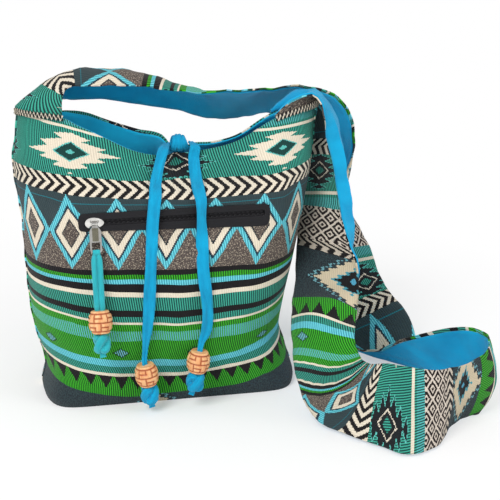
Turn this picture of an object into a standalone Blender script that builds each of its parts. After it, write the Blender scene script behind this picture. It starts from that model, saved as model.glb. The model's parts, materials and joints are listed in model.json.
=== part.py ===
"""Sling bag of woven cotton: scooped mouth drawn together by a tie, zipped front pocket, long wide strap.

Metres, +Z up. The origin is the middle of the flat base, the zipped front faces -Y.
"""
import math

import bmesh
import bpy
from mathutils import Matrix, Vector

# Cloth
CLOTH = 0.0018
LINING = 0.0010
GAP = 0.0003
LINING_EASE = 0.0024

# Bag body
BAG_HEIGHT = 0.322
BASE_WIDTH = 0.288
BASE_DEPTH = 0.138
SIDE_WIDTH = 0.304
TOP_WIDTH = 0.329
BELLY_DEPTH = 0.083
BACK_DEPTH = 0.076
BASE_TUCK = 0.003
BASE_BOXINESS = 14.0
SIDE_ROUNDNESS = 4.0

# Mouth and shoulders
MOUTH_CENTRE = 0.007
MOUTH_WIDTH = 0.232
MOUTH_DIP = 0.052
MOUTH_GAPE = 0.043
MOUTH_TAPER = 0.055
SHOULDER_REACH = 0.047
SHOULDER_RISE = 0.013
SHOULDER_DROP = 0.013

# Strap
STRAP_WIDTH = 0.080
STRAP_CLOTH = 0.0016
STRAP_LINING = 0.0008
SEAM_GAP = 0.0006
SEAM_STAND = 0.0030

# Zip
ZIP_LENGTH = 0.200
ZIP_CENTRE = 0.004
ZIP_HEIGHT = 0.214
ZIP_DEPTH = 0.0670
SLOT_HEIGHT = 0.0175
TAPE_THICKNESS = 0.0007
TAPE_SEAM = 0.0040
CHAIN_GAP = 0.0017
TOOTH_PITCH = 0.0050
TOOTH_LENGTH = 0.0015
TEETH_ROOT = 0.0016
TEETH_THICKNESS = 0.0016
STOP_LENGTH = 0.0020
SLIDER_LENGTH = 0.020
SLIDER_WIDTH = 0.0140
SLIDER_PLATE = 0.0012
SLIDER_SETBACK = 0.0025
POST_THICKNESS = 0.0010
HINGE_REACH = 0.0022
PIN_RADIUS = 0.00065
TAB_LENGTH = 0.031
TAB_WIDTH = 0.0125
TAB_THICKNESS = 0.0018
TAB_BAR = 0.0028
TAB_SLOT_WIDTH = 0.0088
TAB_SLOT_HEIGHT = 0.0085

# Pull cord, ties and beads
PULL_TILT = 15.0
CORD_WIDTH = 0.0135
CORD_THICKNESS = 0.0040
CORD_EYE = 0.0034
RIBBON_WIDTH = 0.015
RIBBON_THICKNESS = 0.0022
RIBBON_NECK = 0.0062
BEAD_RADIUS = 0.0128
BEAD_LENGTH = 0.0240
BEAD_BORE = 0.0042
BEAD_GROOVE = 0.0007
KNOT_RADIUS = 0.0105
TIE_KNOT_WIDTH = 0.0220
TIE_KNOT_HEIGHT = 0.0185
POCKET_DEPTH = 0.115
POCKET_CLOTH = 0.0007

BODY_COLUMNS = 16
SHOULDER_COLUMNS = 3
STRAP_PITCH = 0.0235


def smoothstep(t):
    t = min(max(t, 0.0), 1.0)
    return t * t * (3.0 - 2.0 * t)


def blend(a, b, t):
    return a + (b - a) * t


def through(table, x):
    """Smooth value at x of a curve through the table's (x, value) points."""
    if x <= table[0][0]:
        return table[0][1]
    if x >= table[-1][0]:
        return table[-1][1]
    i = max(k for k in range(len(table) - 1) if table[k][0] <= x)
    (x0, y0), (x1, y1) = table[i], table[i + 1]
    before = table[max(i - 1, 0)]
    after = table[min(i + 2, len(table) - 1)]
    slope0 = (y1 - before[1]) / (x1 - before[0])
    slope1 = (after[1] - y0) / (after[0] - x0)
    h = x1 - x0
    t = (x - x0) / h
    a = (1 + 2 * t) * (1 - t) ** 2 * y0 + t * (1 - t) ** 2 * h * slope0
    b = t * t * (3 - 2 * t) * y1 + t * t * (t - 1) * h * slope1
    return a + b


# Profiles of the body against the height above the floor
HALF_WIDTH = [
    (0.0, BASE_WIDTH / 2 - 0.001),
    (0.008, BASE_WIDTH / 2),
    (0.032, BASE_WIDTH / 2 - 0.0065),
    (0.060, BASE_WIDTH / 2 - 0.007),
    (0.092, SIDE_WIDTH / 2 - 0.010),
    (0.145, SIDE_WIDTH / 2 - 0.0025),
    (0.205, SIDE_WIDTH / 2 + 0.0045),
    (0.265, TOP_WIDTH / 2),
    (BAG_HEIGHT, TOP_WIDTH / 2 - 0.001),
]
FRONT_DEPTH = [
    (0.0, BASE_DEPTH / 2 - BASE_TUCK),
    (0.012, BASE_DEPTH / 2 + 0.001),
    (0.026, BASE_DEPTH / 2 + 0.002),
    (0.045, BELLY_DEPTH - 0.009),
    (0.075, BELLY_DEPTH - 0.003),
    (0.115, BELLY_DEPTH),
    (0.165, BELLY_DEPTH - 0.004),
    (0.214, BELLY_DEPTH - 0.013),
    (0.245, BELLY_DEPTH - 0.024),
    (0.280, BELLY_DEPTH - 0.040),
    (BAG_HEIGHT, BELLY_DEPTH - 0.055),
]
REAR_DEPTH = [
    (0.0, BASE_DEPTH / 2 - BASE_TUCK - 0.011),
    (0.015, BASE_DEPTH / 2 - 0.011),
    (0.060, BACK_DEPTH - 0.006),
    (0.120, BACK_DEPTH),
    (0.190, BACK_DEPTH - 0.008),
    (0.250, BACK_DEPTH - 0.022),
    (BAG_HEIGHT, BACK_DEPTH - 0.046),
]
LEAN = [
    (0.0, -0.001),
    (0.032, -0.002),
    (0.062, -0.009),
    (0.10, -0.0093),
    (0.15, -0.005),
    (0.21, 0.0),
    (0.30, 0.002),
]

# Height of the mouth's rim and half its gap, against the share of the way across the bag
CORNER = MOUTH_WIDTH / 2 / (MOUTH_WIDTH / 2 + SHOULDER_REACH)
TIE_AT = 0.085
LEFT_CORNER_HEIGHT = BAG_HEIGHT - 0.006
RIGHT_CORNER_HEIGHT = LEFT_CORNER_HEIGHT - SHOULDER_DROP
RIM_LOW = LEFT_CORNER_HEIGHT - MOUTH_DIP
SHOULDER_START = BAG_HEIGHT - 0.060
RIM_HEIGHT = [
    (-1.0, LEFT_CORNER_HEIGHT + SHOULDER_RISE - 0.006),
    (-CORNER, LEFT_CORNER_HEIGHT),
    (-0.63, LEFT_CORNER_HEIGHT - 0.009),
    (-0.49, LEFT_CORNER_HEIGHT - 0.021),
    (-0.29, RIM_LOW + 0.016),
    (-0.13, RIM_LOW + 0.008),
    (TIE_AT, RIM_LOW + 0.003),
    (0.19, RIM_LOW + 0.007),
    (0.37, RIM_LOW + 0.011),
    (0.50, RIM_LOW + 0.018),
    (CORNER, RIGHT_CORNER_HEIGHT),
    (1.0, RIGHT_CORNER_HEIGHT + SHOULDER_RISE),
]
# How much higher the back rim stands than the front one
BACK_RISE = [
    (-CORNER, 0.0),
    (-0.60, 0.007),
    (-0.40, 0.010),
    (-0.16, 0.012),
    (-0.01, 0.014),
    (TIE_AT - 0.02, 0.001),
    (TIE_AT, 0.0),
    (0.19, 0.002),
    (0.30, 0.0),
]
CORNER_GAP = 0.015
TIE_GAP = 0.0046
MOUTH_HALF_GAP = [
    (-CORNER, CORNER_GAP),
    (-0.63, 0.58 * MOUTH_GAPE),
    (-0.49, 0.88 * MOUTH_GAPE),
    (-0.29, MOUTH_GAPE),
    (-0.13, 0.82 * MOUTH_GAPE),
    (-0.01, 0.52 * MOUTH_GAPE),
    (TIE_AT - 0.03, TIE_GAP + 0.001),
    (TIE_AT, TIE_GAP),
    (TIE_AT + 0.03, TIE_GAP + 0.001),
    (0.19, 0.30 * MOUTH_GAPE),
    (0.37, 0.28 * MOUTH_GAPE),
    (0.50, 0.24 * MOUTH_GAPE),
    (CORNER, CORNER_GAP - 0.003),
]


def rim_height(share, front=True):
    """Height of the rim at a share of the way across; the back stands higher beside the tie."""
    return through(RIM_HEIGHT, share) + (0.0 if front else through(BACK_RISE, share))


def half_gap(share):
    """Half the distance between front and back rims; past the corners the shoulder closes as an ellipse."""
    if abs(share) <= CORNER:
        return through(MOUTH_HALF_GAP, share)
    edge = MOUTH_HALF_GAP[0][1] if share < 0 else MOUTH_HALF_GAP[-1][1]
    t = min((abs(share) - CORNER) / (1 - CORNER), 1.0)
    return edge * math.sqrt(max(1 - t * t, 0.0))


def across(share, z):
    """World x at a share of the way from the middle to the side seam, at height z."""
    upper = smoothstep((z - SHOULDER_START) / (BAG_HEIGHT - SHOULDER_START))
    half = blend(through(HALF_WIDTH, z), MOUTH_WIDTH / 2 + SHOULDER_REACH, upper)
    middle = blend(through(LEAN, z), MOUTH_CENTRE, upper)
    return middle + share * half


def share_at(x, z):
    """Inverse of across."""
    middle = across(0.0, z)
    return (x - middle) / (across(1.0, z) - middle)


def zip_flat(x, z):
    """1 on the flat strip that holds the zip, 0 away from it."""
    along = smoothstep((ZIP_LENGTH / 2 + 0.035 - abs(x - ZIP_CENTRE)) / 0.022)
    up = smoothstep((0.038 - abs(z - ZIP_HEIGHT)) / 0.022)
    return along * up


def skin_depth(share, z, front=True):
    """Distance of the outer skin from the bag's middle plane."""
    power = blend(BASE_BOXINESS, SIDE_ROUNDNESS, smoothstep(z / 0.065))
    round_off = math.sqrt(max(1 - abs(share) ** power, 0.0))
    belly = through(FRONT_DEPTH if front else REAR_DEPTH, z) * round_off
    rim = rim_height(share, front)
    to_rim = min(max((z - rim + MOUTH_TAPER) / MOUTH_TAPER, 0.0), 1.0) ** 1.5
    depth = blend(belly, half_gap(share), to_rim)
    if front:
        depth = blend(depth, ZIP_DEPTH, zip_flat(across(share, z), z))
    return depth


def front_y(x, z, clear=0.0):
    """World y of a point that stands a clearance in front of the bag's front skin."""
    return -skin_depth(share_at(x, z), z) - clear


# Construction helpers
part = bpy.data.collections.new("sling_bag")
tools = bpy.data.collections.new("cutters")


def clear_scene():
    for old in list(bpy.data.objects):
        bpy.data.objects.remove(old, do_unlink=True)
    bpy.context.scene.collection.children.link(part)
    bpy.context.scene.collection.children.link(tools)


def material(name, colour, roughness=0.9, metallic=0.0):
    made = bpy.data.materials.new(name)
    made.use_nodes = True
    shader = made.node_tree.nodes["Principled BSDF"]
    shader.inputs["Base Color"].default_value = (*colour, 1.0)
    shader.inputs["Roughness"].default_value = roughness
    shader.inputs["Metallic"].default_value = metallic
    return made


def add_object(name, mesh, materials, home=part):
    made = bpy.data.objects.new(name, mesh)
    for m in materials:
        mesh.materials.append(m)
    home.objects.link(made)
    return made


def mesh_from(bm, name, smooth=True):
    mesh = bpy.data.meshes.new(name)
    bm.to_mesh(mesh)
    bm.free()
    if smooth:
        mesh.shade_smooth()
        mesh.set_sharp_from_angle(angle=math.radians(40))
    return mesh


def loft(name, rows, materials, closed=False, floor=False, paint=None):
    """Sheet through rows of points; closed joins each row's ends, floor fills the first row."""
    bm = bmesh.new()
    grid = [[bm.verts.new(p) for p in row] for row in rows]
    count = len(rows[0])
    spans = count if closed else count - 1
    for i in range(len(rows) - 1):
        for j in range(spans):
            k = (j + 1) % count
            face = bm.faces.new((grid[i][j], grid[i][k], grid[i + 1][k], grid[i + 1][j]))
            if paint:
                face.material_index = paint(i, j)
    if floor:
        bm.faces.new(list(reversed(grid[0])))
    return add_object(name, mesh_from(bm, name), materials)


def solidify(piece, thickness, offset=-1.0):
    wall = piece.modifiers.new("wall", "SOLIDIFY")
    wall.thickness = thickness
    wall.offset = offset
    wall.use_even_offset = False
    return piece


def box(name, low, high, materials, bevel=0.0, home=part):
    """Block between two corners, its origin at its middle."""
    low, high = Vector(low), Vector(high)
    bm = bmesh.new()
    bmesh.ops.create_cube(bm, size=1.0)
    size = high - low
    bmesh.ops.scale(bm, vec=size, verts=bm.verts)
    if bevel:
        bmesh.ops.bevel(bm, geom=bm.edges[:], offset=bevel, segments=2, affect="EDGES", profile=0.5)
    made = add_object(name, mesh_from(bm, name), materials, home)
    made.location = (low + high) / 2
    return made


def cut(piece, cutter, name="cut"):
    cutter.hide_render = True
    cutter.display_type = "WIRE"
    knife = piece.modifiers.new(name, "BOOLEAN")
    knife.operation = "DIFFERENCE"
    knife.object = cutter


def outline_plate(name, points, thickness, materials):
    """Flat plate of an outline in its own XY plane, thickness along local Z."""
    curve = bpy.data.curves.new(name, "CURVE")
    curve.dimensions = "2D"
    curve.fill_mode = "BOTH"
    curve.extrude = thickness / 2
    spline = curve.splines.new("POLY")
    spline.points.add(len(points) - 1)
    for slot, (x, y) in zip(spline.points, points):
        slot.co = (x, y, 0.0, 1.0)
    spline.use_cyclic_u = True
    guide = bpy.data.objects.new(name + "_curve", curve)
    tools.objects.link(guide)
    bpy.context.view_layer.update()
    solid = guide.evaluated_get(bpy.context.evaluated_depsgraph_get())
    mesh = bpy.data.meshes.new_from_object(solid)
    bpy.data.objects.remove(guide, do_unlink=True)
    bm = bmesh.new()
    bm.from_mesh(mesh)
    bmesh.ops.remove_doubles(bm, verts=bm.verts, dist=1e-5)
    flat = [f for f in bm.faces if abs(f.normal.z) > 0.5]
    inner = [e for e in bm.edges if all(f in flat for f in e.link_faces)]
    bmesh.ops.beautify_fill(bm, faces=flat, edges=inner)
    bmesh.ops.recalc_face_normals(bm, faces=bm.faces)
    mesh.materials.clear()
    bm.to_mesh(mesh)
    bm.free()
    return add_object(name, mesh, materials)


# Bag body
def column_shares():
    """Shares of the way across for the front half, side seam to side seam, dense at the shoulders."""
    turns = [math.pi / 2 * i / SHOULDER_COLUMNS for i in range(SHOULDER_COLUMNS + 1)]
    shoulder = [CORNER + (1 - CORNER) * math.sin(turn) for turn in turns]
    left, right = BODY_COLUMNS // 2 + 1, BODY_COLUMNS // 2 - 1
    middle = [blend(-CORNER, TIE_AT, i / left) for i in range(1, left + 1)]
    middle += [blend(TIE_AT, CORNER, i / right) for i in range(1, right)]
    return [-share for share in reversed(shoulder)] + middle + shoulder


# Rows of the cloth: shares of the way up to the zip's strip, the strip, then up to the yoke's seam
UNDER_ZIP = ZIP_HEIGHT - 0.015
OVER_ZIP = ZIP_HEIGHT + 0.015
YOKE_HEIGHT = blend(OVER_ZIP, RIM_LOW, 0.7286)
BELOW_ZIP = [0.0, 0.02, 0.06, 0.12, 0.18, 0.25, 0.342, 0.427, 0.515, 0.603, 0.686, 0.754, 0.824, 0.915]
LOW_ROWS = [share * UNDER_ZIP for share in BELOW_ZIP]
LOW_ROWS += [UNDER_ZIP, OVER_ZIP, blend(OVER_ZIP, YOKE_HEIGHT, 0.51), YOKE_HEIGHT]
RIM_ROWS = 4


def ring(row):
    """One loop of skin points: front from left to right, then the back from right to left."""
    shares = column_shares()
    loop = []
    walk = [(s, True) for s in shares] + [(s, False) for s in reversed(shares[1:-1])]
    for share, front in walk:
        z = LOW_ROWS[min(row, len(LOW_ROWS) - 1)]
        if row >= len(LOW_ROWS):
            z = blend(YOKE_HEIGHT, rim_height(share, front), (row - len(LOW_ROWS) + 1) / RIM_ROWS)
        y = skin_depth(share, z, front) * (-1 if front else 1)
        loop.append(Vector((across(share, z), y, z)))
    return loop


def inward(rows, i, j):
    """Direction into the bag at a point of the skin's grid."""
    count = len(rows[i])
    up = rows[min(i + 1, len(rows) - 1)][j] - rows[max(i - 1, 0)][j]
    along = rows[i][(j + 1) % count] - rows[i][(j - 1) % count]
    return up.cross(along).normalized()


def band_colour(z):
    """Index of the woven band at a height: base, triangles, green, stripes, diamonds, chevrons, stars."""
    tops = [LOW_ROWS[2], LOW_ROWS[4], LOW_ROWS[8], LOW_ROWS[12], OVER_ZIP + GAP, YOKE_HEIGHT]
    for index, top in enumerate(tops):
        if z < top:
            return index
    return len(tops)


def build_body(cloths):
    rows = [ring(i) for i in range(len(LOW_ROWS) + RIM_ROWS)]
    mids = [sum(p.z for p in row) / len(row) for row in rows]
    outer = loft("bag_outer", rows, cloths, closed=True, floor=True,
                 paint=lambda i, j: band_colour((mids[i] + mids[i + 1]) / 2))
    solidify(outer, CLOTH)
    half = SLOT_HEIGHT / 2
    slot = box("zip_slot_cutter", (ZIP_CENTRE - ZIP_LENGTH / 2, -ZIP_DEPTH - 0.010, ZIP_HEIGHT - half),
               (ZIP_CENTRE + ZIP_LENGTH / 2, -ZIP_DEPTH + 0.008, ZIP_HEIGHT + half), [], home=tools)
    cut(outer, slot, "zip_slot")
    return outer


def pocket_ease(p):
    """How much further in the lining lies behind the pocket bag."""
    if p.y > -0.02:
        return 0.0
    along = smoothstep((ZIP_LENGTH / 2 + 0.022 - abs(p.x - ZIP_CENTRE)) / 0.014)
    up = smoothstep((p.z - (ZIP_HEIGHT - POCKET_DEPTH - 0.030)) / 0.020)
    down = smoothstep((ZIP_HEIGHT + 0.050 - p.z) / 0.026)
    return 0.0066 * along * up * down


def build_lining(cloth):
    """Hangs inside the outer, open at the mouth, with room for the pocket bag at the front."""
    skin = [ring(i) for i in range(len(LOW_ROWS) + RIM_ROWS)]
    base = CLOTH + LINING_EASE
    rows = []
    for pick in [0, 3, 5, 6, 8, 11, 13, 14, 15, 17, 18, 19, 20, 21]:
        ease = blend(base, CLOTH + 2 * GAP, smoothstep((pick - 17) / 3))
        row = []
        for j, p in enumerate(skin[pick]):
            way = inward(skin, pick, j)
            if pick == 0:
                way.z = 0.0
                way.normalize()
            inner = p + way * (ease + pocket_ease(p))
            if pick == 0:
                inner.z = base
            row.append(inner)
        rows.append(row)
    lining = loft("bag_lining", rows, [cloth], closed=True, floor=True)
    solidify(lining, LINING)
    return lining


# Strap: front edge, back edge (in units that make the bag 322 high), degrees by which the front edge is
# rolled over, and how far the middle bows: a share of the free bow towards the pattern, or an offset. It
# climbs from the left shoulder, arches over the mouth, drops behind its own end, folds on the floor, loops
# to the front, climbs beside the bag and turns over into the right shoulder.
ROUTE_UNIT = BAG_HEIGHT / 322
STRAP_ROUTE = [
    ((-108, -20, 337), (-107, 30, 324), 0, 1.0),
    ((-101, -12, 347), (-97, 40, 322), 0, 0.85),
    ((-67, -8, 346), (-59, 42, 320), 0, 1.0),
    ((-30, -8, 345), (-20, 44, 312), 0, 1.0),
    ((7, -9, 338), (23, 46, 303), 0, 0.9),
    ((50, -4, 333), (61, 54, 290), 0, 0.7),
    ((92, 6, 331), (94, 68, 286), 0, 0.5),
    ((134, 24, 328), (128, 88, 285), 0, 0.5),
    ((173, 42, 323), (154, 102, 274), 0, 0.5),
    ((210, 54, 307), (173, 108, 254), 0, 0.5),
    ((229, 60, 277), (187, 110, 230), 0, 0.6),
    ((232, 60, 246), (199, 110, 206), 0, 0.7),
    ((219, 50, 214), (219, 104, 180), 0, 0.45),
    ((201, 42, 178), (236, 92, 155), 0, 0.4),
    ((184, 44, 130), (257, 72, 114), 0, 0.7),
    ((190, 46, 78), (273, 52, 70), 0, 1.0),
    ((208, 44, 22), (294, 14, 42), 0, 1.0),
    ((225, 23, 5), (294, -50, 7), 0, 0.2),
    ((245, -14, 16), (307, -86, 4), 0, 0.8),
    ((264, -46, 41), (319, -110, 3), 0, 1.0),
    ((292, -83, 66), (333, -124, 3), 0, 1.0),
    ((320, -108, 79), (331, -136, 3), 0, 1.0),
    ((333, -135, 80), (327, -151, 3), 0, 1.0),
    ((322, -171, 80), (316, -167, 3), 0, 1.0),
    ((288, -201, 80), (288, -179, 3), 0, 1.0),
    ((252, -211, 80), (246, -232, 3), 0, 1.0),
    ((226, -199, 80), (213, -243, 3), 0, 1.0),
    ((207, -184, 79), (190, -219, 3), 0, 1.0),
    ((194, -180, 78), (164, -190, 4), 0, 1.0),
    ((186, -180, 80), (141, -164, 7), 0, 1.0),
    ((180, -176, 85), (128, -140, 24), 0, 1.0),
    ((177, -162, 98), (122, -128, 58), 0, 1.0),
    ((188, -125, 110), (124, -98, 92), 0, 1.0),
    ((197, -86, 140), (139, -46, 118), 30, 1.0),
    ((201, -58, 178), (154, 6, 158), 90, 0.8),
    ((201, -40, 215), (165, 26, 196), 120, 0.2),
    ((197, -29, 255), (173, 34, 240), 125, -0.5),
    ((190, -23, 286), (176, 34, 276), 125, -0.9),
    ((179, -22, 309), (168, 29, 303), 115, (18, 0, 2)),
    ((162, -20, 325), (152, 24, 321), 60, (22, 0, 2)),
    ((139, -16, 319), (138, 18, 317), 0, (32, 0, 6)),
]
ACROSS = 6
BACK_TO_FRONT = [k / ACROSS for k in range(ACROSS + 1)]
ROLL_SHARE = 1 / ACROSS


def shoulder_section(side, lift):
    """Points of the seam between strap and bag at a shoulder, from the back corner to the front one."""
    points = []
    for f in BACK_TO_FRONT:
        turn = math.pi * f
        share = side * (CORNER + (1 - CORNER) * math.sin(turn))
        z = through(RIM_HEIGHT, share)
        y = half_gap(side * CORNER) * math.cos(turn)
        points.append(Vector((across(share, z), y, z + lift)))
    return points


def strap_section(front, back, roll, bow, travel):
    """Points across the strap: a bow as high as its true width needs, then the rolled front edge."""
    across_dir = (front - back).normalized()
    pattern_side = across_dir.cross(travel).normalized()
    rolled = smoothstep(roll / 60)
    width = STRAP_WIDTH * (1 - ROLL_SHARE * rolled)
    chord = (front - back).length
    if isinstance(bow, tuple):
        bulge = Vector(bow) * ROUTE_UNIT
    else:
        bulge = pattern_side * bow * (math.sqrt(max(width * width - chord * chord, 0.0) * 3 / 16) + 0.002)
    points = []
    for f in BACK_TO_FRONT:
        g = min(blend(f, f / (1 - ROLL_SHARE), rolled), 1.0)
        points.append(back.lerp(front, g) + bulge * (4 * g * (1 - g)))
    angle = math.radians(roll)
    lip = across_dir * math.cos(angle) + pattern_side * math.sin(angle)
    points[-1] = points[-1] + lip * (STRAP_WIDTH * ROLL_SHARE * rolled)
    return points


def strap_grid():
    """Rows of points along the strap's patterned face, closely spaced between the route's sections."""
    pairs = [(Vector(f) * ROUTE_UNIT, Vector(b) * ROUTE_UNIT, r, w) for f, b, r, w in STRAP_ROUTE]
    left, right = shoulder_section(-1, SEAM_GAP), shoulder_section(1, SEAM_GAP)
    ends = [(left[-1] + left[0]) / 2, (right[-1] + right[0]) / 2]
    middles = [ends[0]] + [(f + b) / 2 for f, b, r, w in pairs] + [ends[1]]
    sections = [left, shoulder_section(-1, SEAM_GAP + SEAM_STAND)]
    for i, (front, back, roll, bow) in enumerate(pairs):
        travel = (middles[i + 2] - middles[i]).normalized()
        sections.append(strap_section(front, back, roll, bow, travel))
    sections += [shoulder_section(1, SEAM_GAP + SEAM_STAND), right]
    gaps = [sum((p - q).length for p, q in zip(a, b)) / len(a) for a, b in zip(sections, sections[1:])]
    marks = [0.0]
    for gap in gaps:
        marks.append(marks[-1] + gap)
    places = [0.0]
    for gap, start in zip(gaps, marks):
        pieces = max(1, round(gap / STRAP_PITCH))
        places += [start + gap * (k + 1) / pieces for k in range(pieces)]
    rows = []
    for place in places:
        row = []
        for k in range(ACROSS + 1):
            row.append(Vector([through([(m, s[k][axis]) for m, s in zip(marks, sections)], place)
                               for axis in range(3)]))
        rows.append(row)
    return rows


def offset_grid(rows, distance):
    """The same sheet moved along its normals, away from the patterned side."""
    moved = []
    for i, row in enumerate(rows):
        line = []
        for j, point in enumerate(row):
            along = rows[min(i + 1, len(rows) - 1)][j] - rows[max(i - 1, 0)][j]
            sideways = row[min(j + 1, len(row) - 1)] - row[max(j - 1, 0)]
            normal = sideways.cross(along).normalized()
            line.append(point - normal * distance)
        moved.append(line)
    return moved


def build_strap(cloths, lining_cloth):
    rows = strap_grid()
    bands = [0, 1, 2, 2, 3, 4, 4, 5, 6, 6]
    outer = loft("strap_outer", rows, cloths, paint=lambda i, j: bands[(i // 3) % len(bands)])
    solidify(outer, STRAP_CLOTH, 1.0)
    back = loft("strap_lining", offset_grid(rows, STRAP_CLOTH + GAP), [lining_cloth])
    solidify(back, STRAP_LINING, 1.0)
    return outer, back


# Zip
WALL_BACK = -ZIP_DEPTH + CLOTH
TAPE_FRONT = WALL_BACK + 2 * GAP
TAPE_BACK = TAPE_FRONT + TAPE_THICKNESS
TEETH_BACK = TAPE_FRONT - GAP
TEETH_FRONT = TEETH_BACK - TEETH_THICKNESS
PLATE_BACK = TEETH_FRONT - GAP
PLATE_FRONT = PLATE_BACK - SLIDER_PLATE
HINGE_Y = PLATE_FRONT - HINGE_REACH
ZIP_LEFT = ZIP_CENTRE - ZIP_LENGTH / 2
SLIDER_START = ZIP_LEFT + SLIDER_SETBACK + SLIDER_LENGTH / 2


def tooth_outline(side):
    """Toothed edge strip in the XZ plane; side is 1 above the chain's middle and -1 below it."""
    inner = CHAIN_GAP / 2
    root = inner + TOOTH_LENGTH
    points = [(ZIP_LEFT + GAP, side * (root + TEETH_ROOT))]
    count = int(ZIP_LENGTH / TOOTH_PITCH)
    shift = 0.25 if side > 0 else 0.5
    for i in range(count):
        x = ZIP_LEFT + TOOTH_PITCH * (i + shift)
        points += [(x, side * root), (x, side * inner)]
        points += [(x + TOOTH_PITCH * 0.42, side * inner), (x + TOOTH_PITCH * 0.42, side * root)]
    points[1:1] = [(ZIP_LEFT + GAP, side * root)]
    points += [(ZIP_LEFT + ZIP_LENGTH - GAP, side * root)]
    points += [(ZIP_LEFT + ZIP_LENGTH - GAP, side * (root + TEETH_ROOT))]
    points += [(ZIP_LEFT + TOOTH_PITCH * i, side * (root + TEETH_ROOT)) for i in range(count - 2, 0, -2)]
    return points


def upright(piece, y_middle, z_middle, x_middle=0.0):
    """Stands a flat plate up in the XZ plane, its thickness along Y."""
    piece.data.transform(Matrix.Rotation(math.radians(90), 4, "X"))
    piece.location = (x_middle, y_middle, z_middle)
    return piece


def build_zip(tape_cloth, coil, metal):
    reach = SLOT_HEIGHT / 2 + TAPE_SEAM
    for side, word in ((1, "upper"), (-1, "lower")):
        low, high = sorted((side * (CHAIN_GAP / 2 + 0.0002), side * reach))
        box("zip_tape_" + word, (ZIP_LEFT - TAPE_SEAM, TAPE_FRONT, ZIP_HEIGHT + low),
            (ZIP_LEFT + ZIP_LENGTH + TAPE_SEAM, TAPE_BACK, ZIP_HEIGHT + high), [tape_cloth])
        teeth = outline_plate("zip_teeth_" + word, tooth_outline(side), TEETH_THICKNESS, [coil])
        upright(teeth, (TEETH_BACK + TEETH_FRONT) / 2, ZIP_HEIGHT)
    for x, word in ((ZIP_LEFT + GAP, "left"), (ZIP_LEFT + ZIP_LENGTH - GAP - STOP_LENGTH, "right")):
        half = CHAIN_GAP / 2 + TOOTH_LENGTH
        box("zip_stop_" + word, (x, PLATE_FRONT, ZIP_HEIGHT - half),
            (x + STOP_LENGTH, PLATE_BACK, ZIP_HEIGHT + half), [metal])


def join(piece, others):
    for other in others:
        other.hide_render = True
        other.display_type = "WIRE"
        weld = piece.modifiers.new("join", "BOOLEAN")
        weld.operation = "UNION"
        weld.object = other


def rod(name, radius, length, place, materials, sides=12, home=part, turn=None):
    """Round bar along X, or along another axis with turn."""
    bm = bmesh.new()
    bmesh.ops.create_cone(bm, cap_ends=True, segments=sides, radius1=radius, radius2=radius, depth=length)
    bmesh.ops.transform(bm, matrix=turn or Matrix.Rotation(math.radians(90), 4, "Y"), verts=bm.verts)
    made = add_object(name, mesh_from(bm, name), materials, home)
    made.location = place
    return made


def build_slider(metal):
    x, z = SLIDER_START, ZIP_HEIGHT
    half, tall = SLIDER_LENGTH / 2, SLIDER_WIDTH / 2
    face = []
    for k in range(20):
        turn = math.radians(360 * k / 20)
        face.append((half * math.cos(turn), tall * math.sin(turn) * (0.86 - 0.14 * math.cos(turn))))
    slider = outline_plate("zip_slider", face, SLIDER_PLATE, [metal])
    upright(slider, (PLATE_FRONT + PLATE_BACK) / 2, z, x)
    under = TAPE_BACK + GAP
    back = box("slider_back_plate", (x - half * 0.8, under, z - tall * 0.85),
               (x + half * 0.8, under + SLIDER_PLATE, z + tall * 0.85), [metal], home=tools)
    post = box("slider_post", (x + 0.001, PLATE_BACK - SLIDER_PLATE / 2, z - POST_THICKNESS / 2),
               (x + 0.006, under + SLIDER_PLATE / 2, z + POST_THICKNESS / 2), [metal], home=tools)
    ears = []
    for side in (-1, 1):
        a, b = sorted((side * 0.0034, side * 0.0046))
        ears.append(box("slider_ear", (x + a, HINGE_Y - 0.0016, z - 0.0018),
                        (x + b, PLATE_FRONT + SLIDER_PLATE / 2, z + 0.0018), [metal], home=tools))
    pin = rod("slider_pin", PIN_RADIUS, 0.0082, (x, HINGE_Y, z), [metal], sides=10, home=tools)
    join(slider, [back, post] + ears + [pin])
    return slider


# Pull: everything hangs in the frame of an empty on the slider's pin, tilted out over the belly
BAR_DROP = TAB_LENGTH - TAB_BAR / 2
BEAD_DROP = 0.104
PULL_KNOT_DROP = BEAD_DROP + BEAD_LENGTH / 2 + GAP


def pivot(name, place, parent=None, tilt=0.0):
    made = bpy.data.objects.new(name, None)
    made.empty_display_size = 0.01
    part.objects.link(made)
    made.location = place
    made.rotation_euler = (math.radians(tilt), 0.0, 0.0)
    made.parent = parent
    return made


def build_tab(metal):
    barrel = HINGE_REACH - GAP
    half, neck = TAB_WIDTH / 2, 0.0030
    edge = [(-neck, 0.0), (-neck, -0.0030), (-half + 0.001, -0.0060), (-half, -0.0085)]
    edge += [(-half, -TAB_LENGTH + 0.003), (-half + 0.0009, -TAB_LENGTH + 0.0009)]
    edge += [(-half + 0.003, -TAB_LENGTH)]
    edge += [(-px, pz) for px, pz in reversed(edge)]
    tab = outline_plate("pull_tab", edge, TAB_THICKNESS, [metal])
    tab.data.transform(Matrix.Rotation(math.radians(90), 4, "X"))
    round_end = rod("tab_barrel", barrel, neck * 2 - 0.00001, (0, 0, 0), [metal], sides=12, home=tools)
    join(tab, [round_end])
    bore = rod("tab_bore", PIN_RADIUS + GAP, 0.02, (0, 0, 0), [], sides=12, home=tools)
    low = -TAB_LENGTH + TAB_BAR
    slot = box("tab_slot", (-TAB_SLOT_WIDTH / 2, -0.004, low),
               (TAB_SLOT_WIDTH / 2, 0.004, low + TAB_SLOT_HEIGHT), [], home=tools)
    cut(tab, bore, "bore")
    cut(tab, slot, "slot")
    return tab, [round_end, bore, slot]


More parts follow.
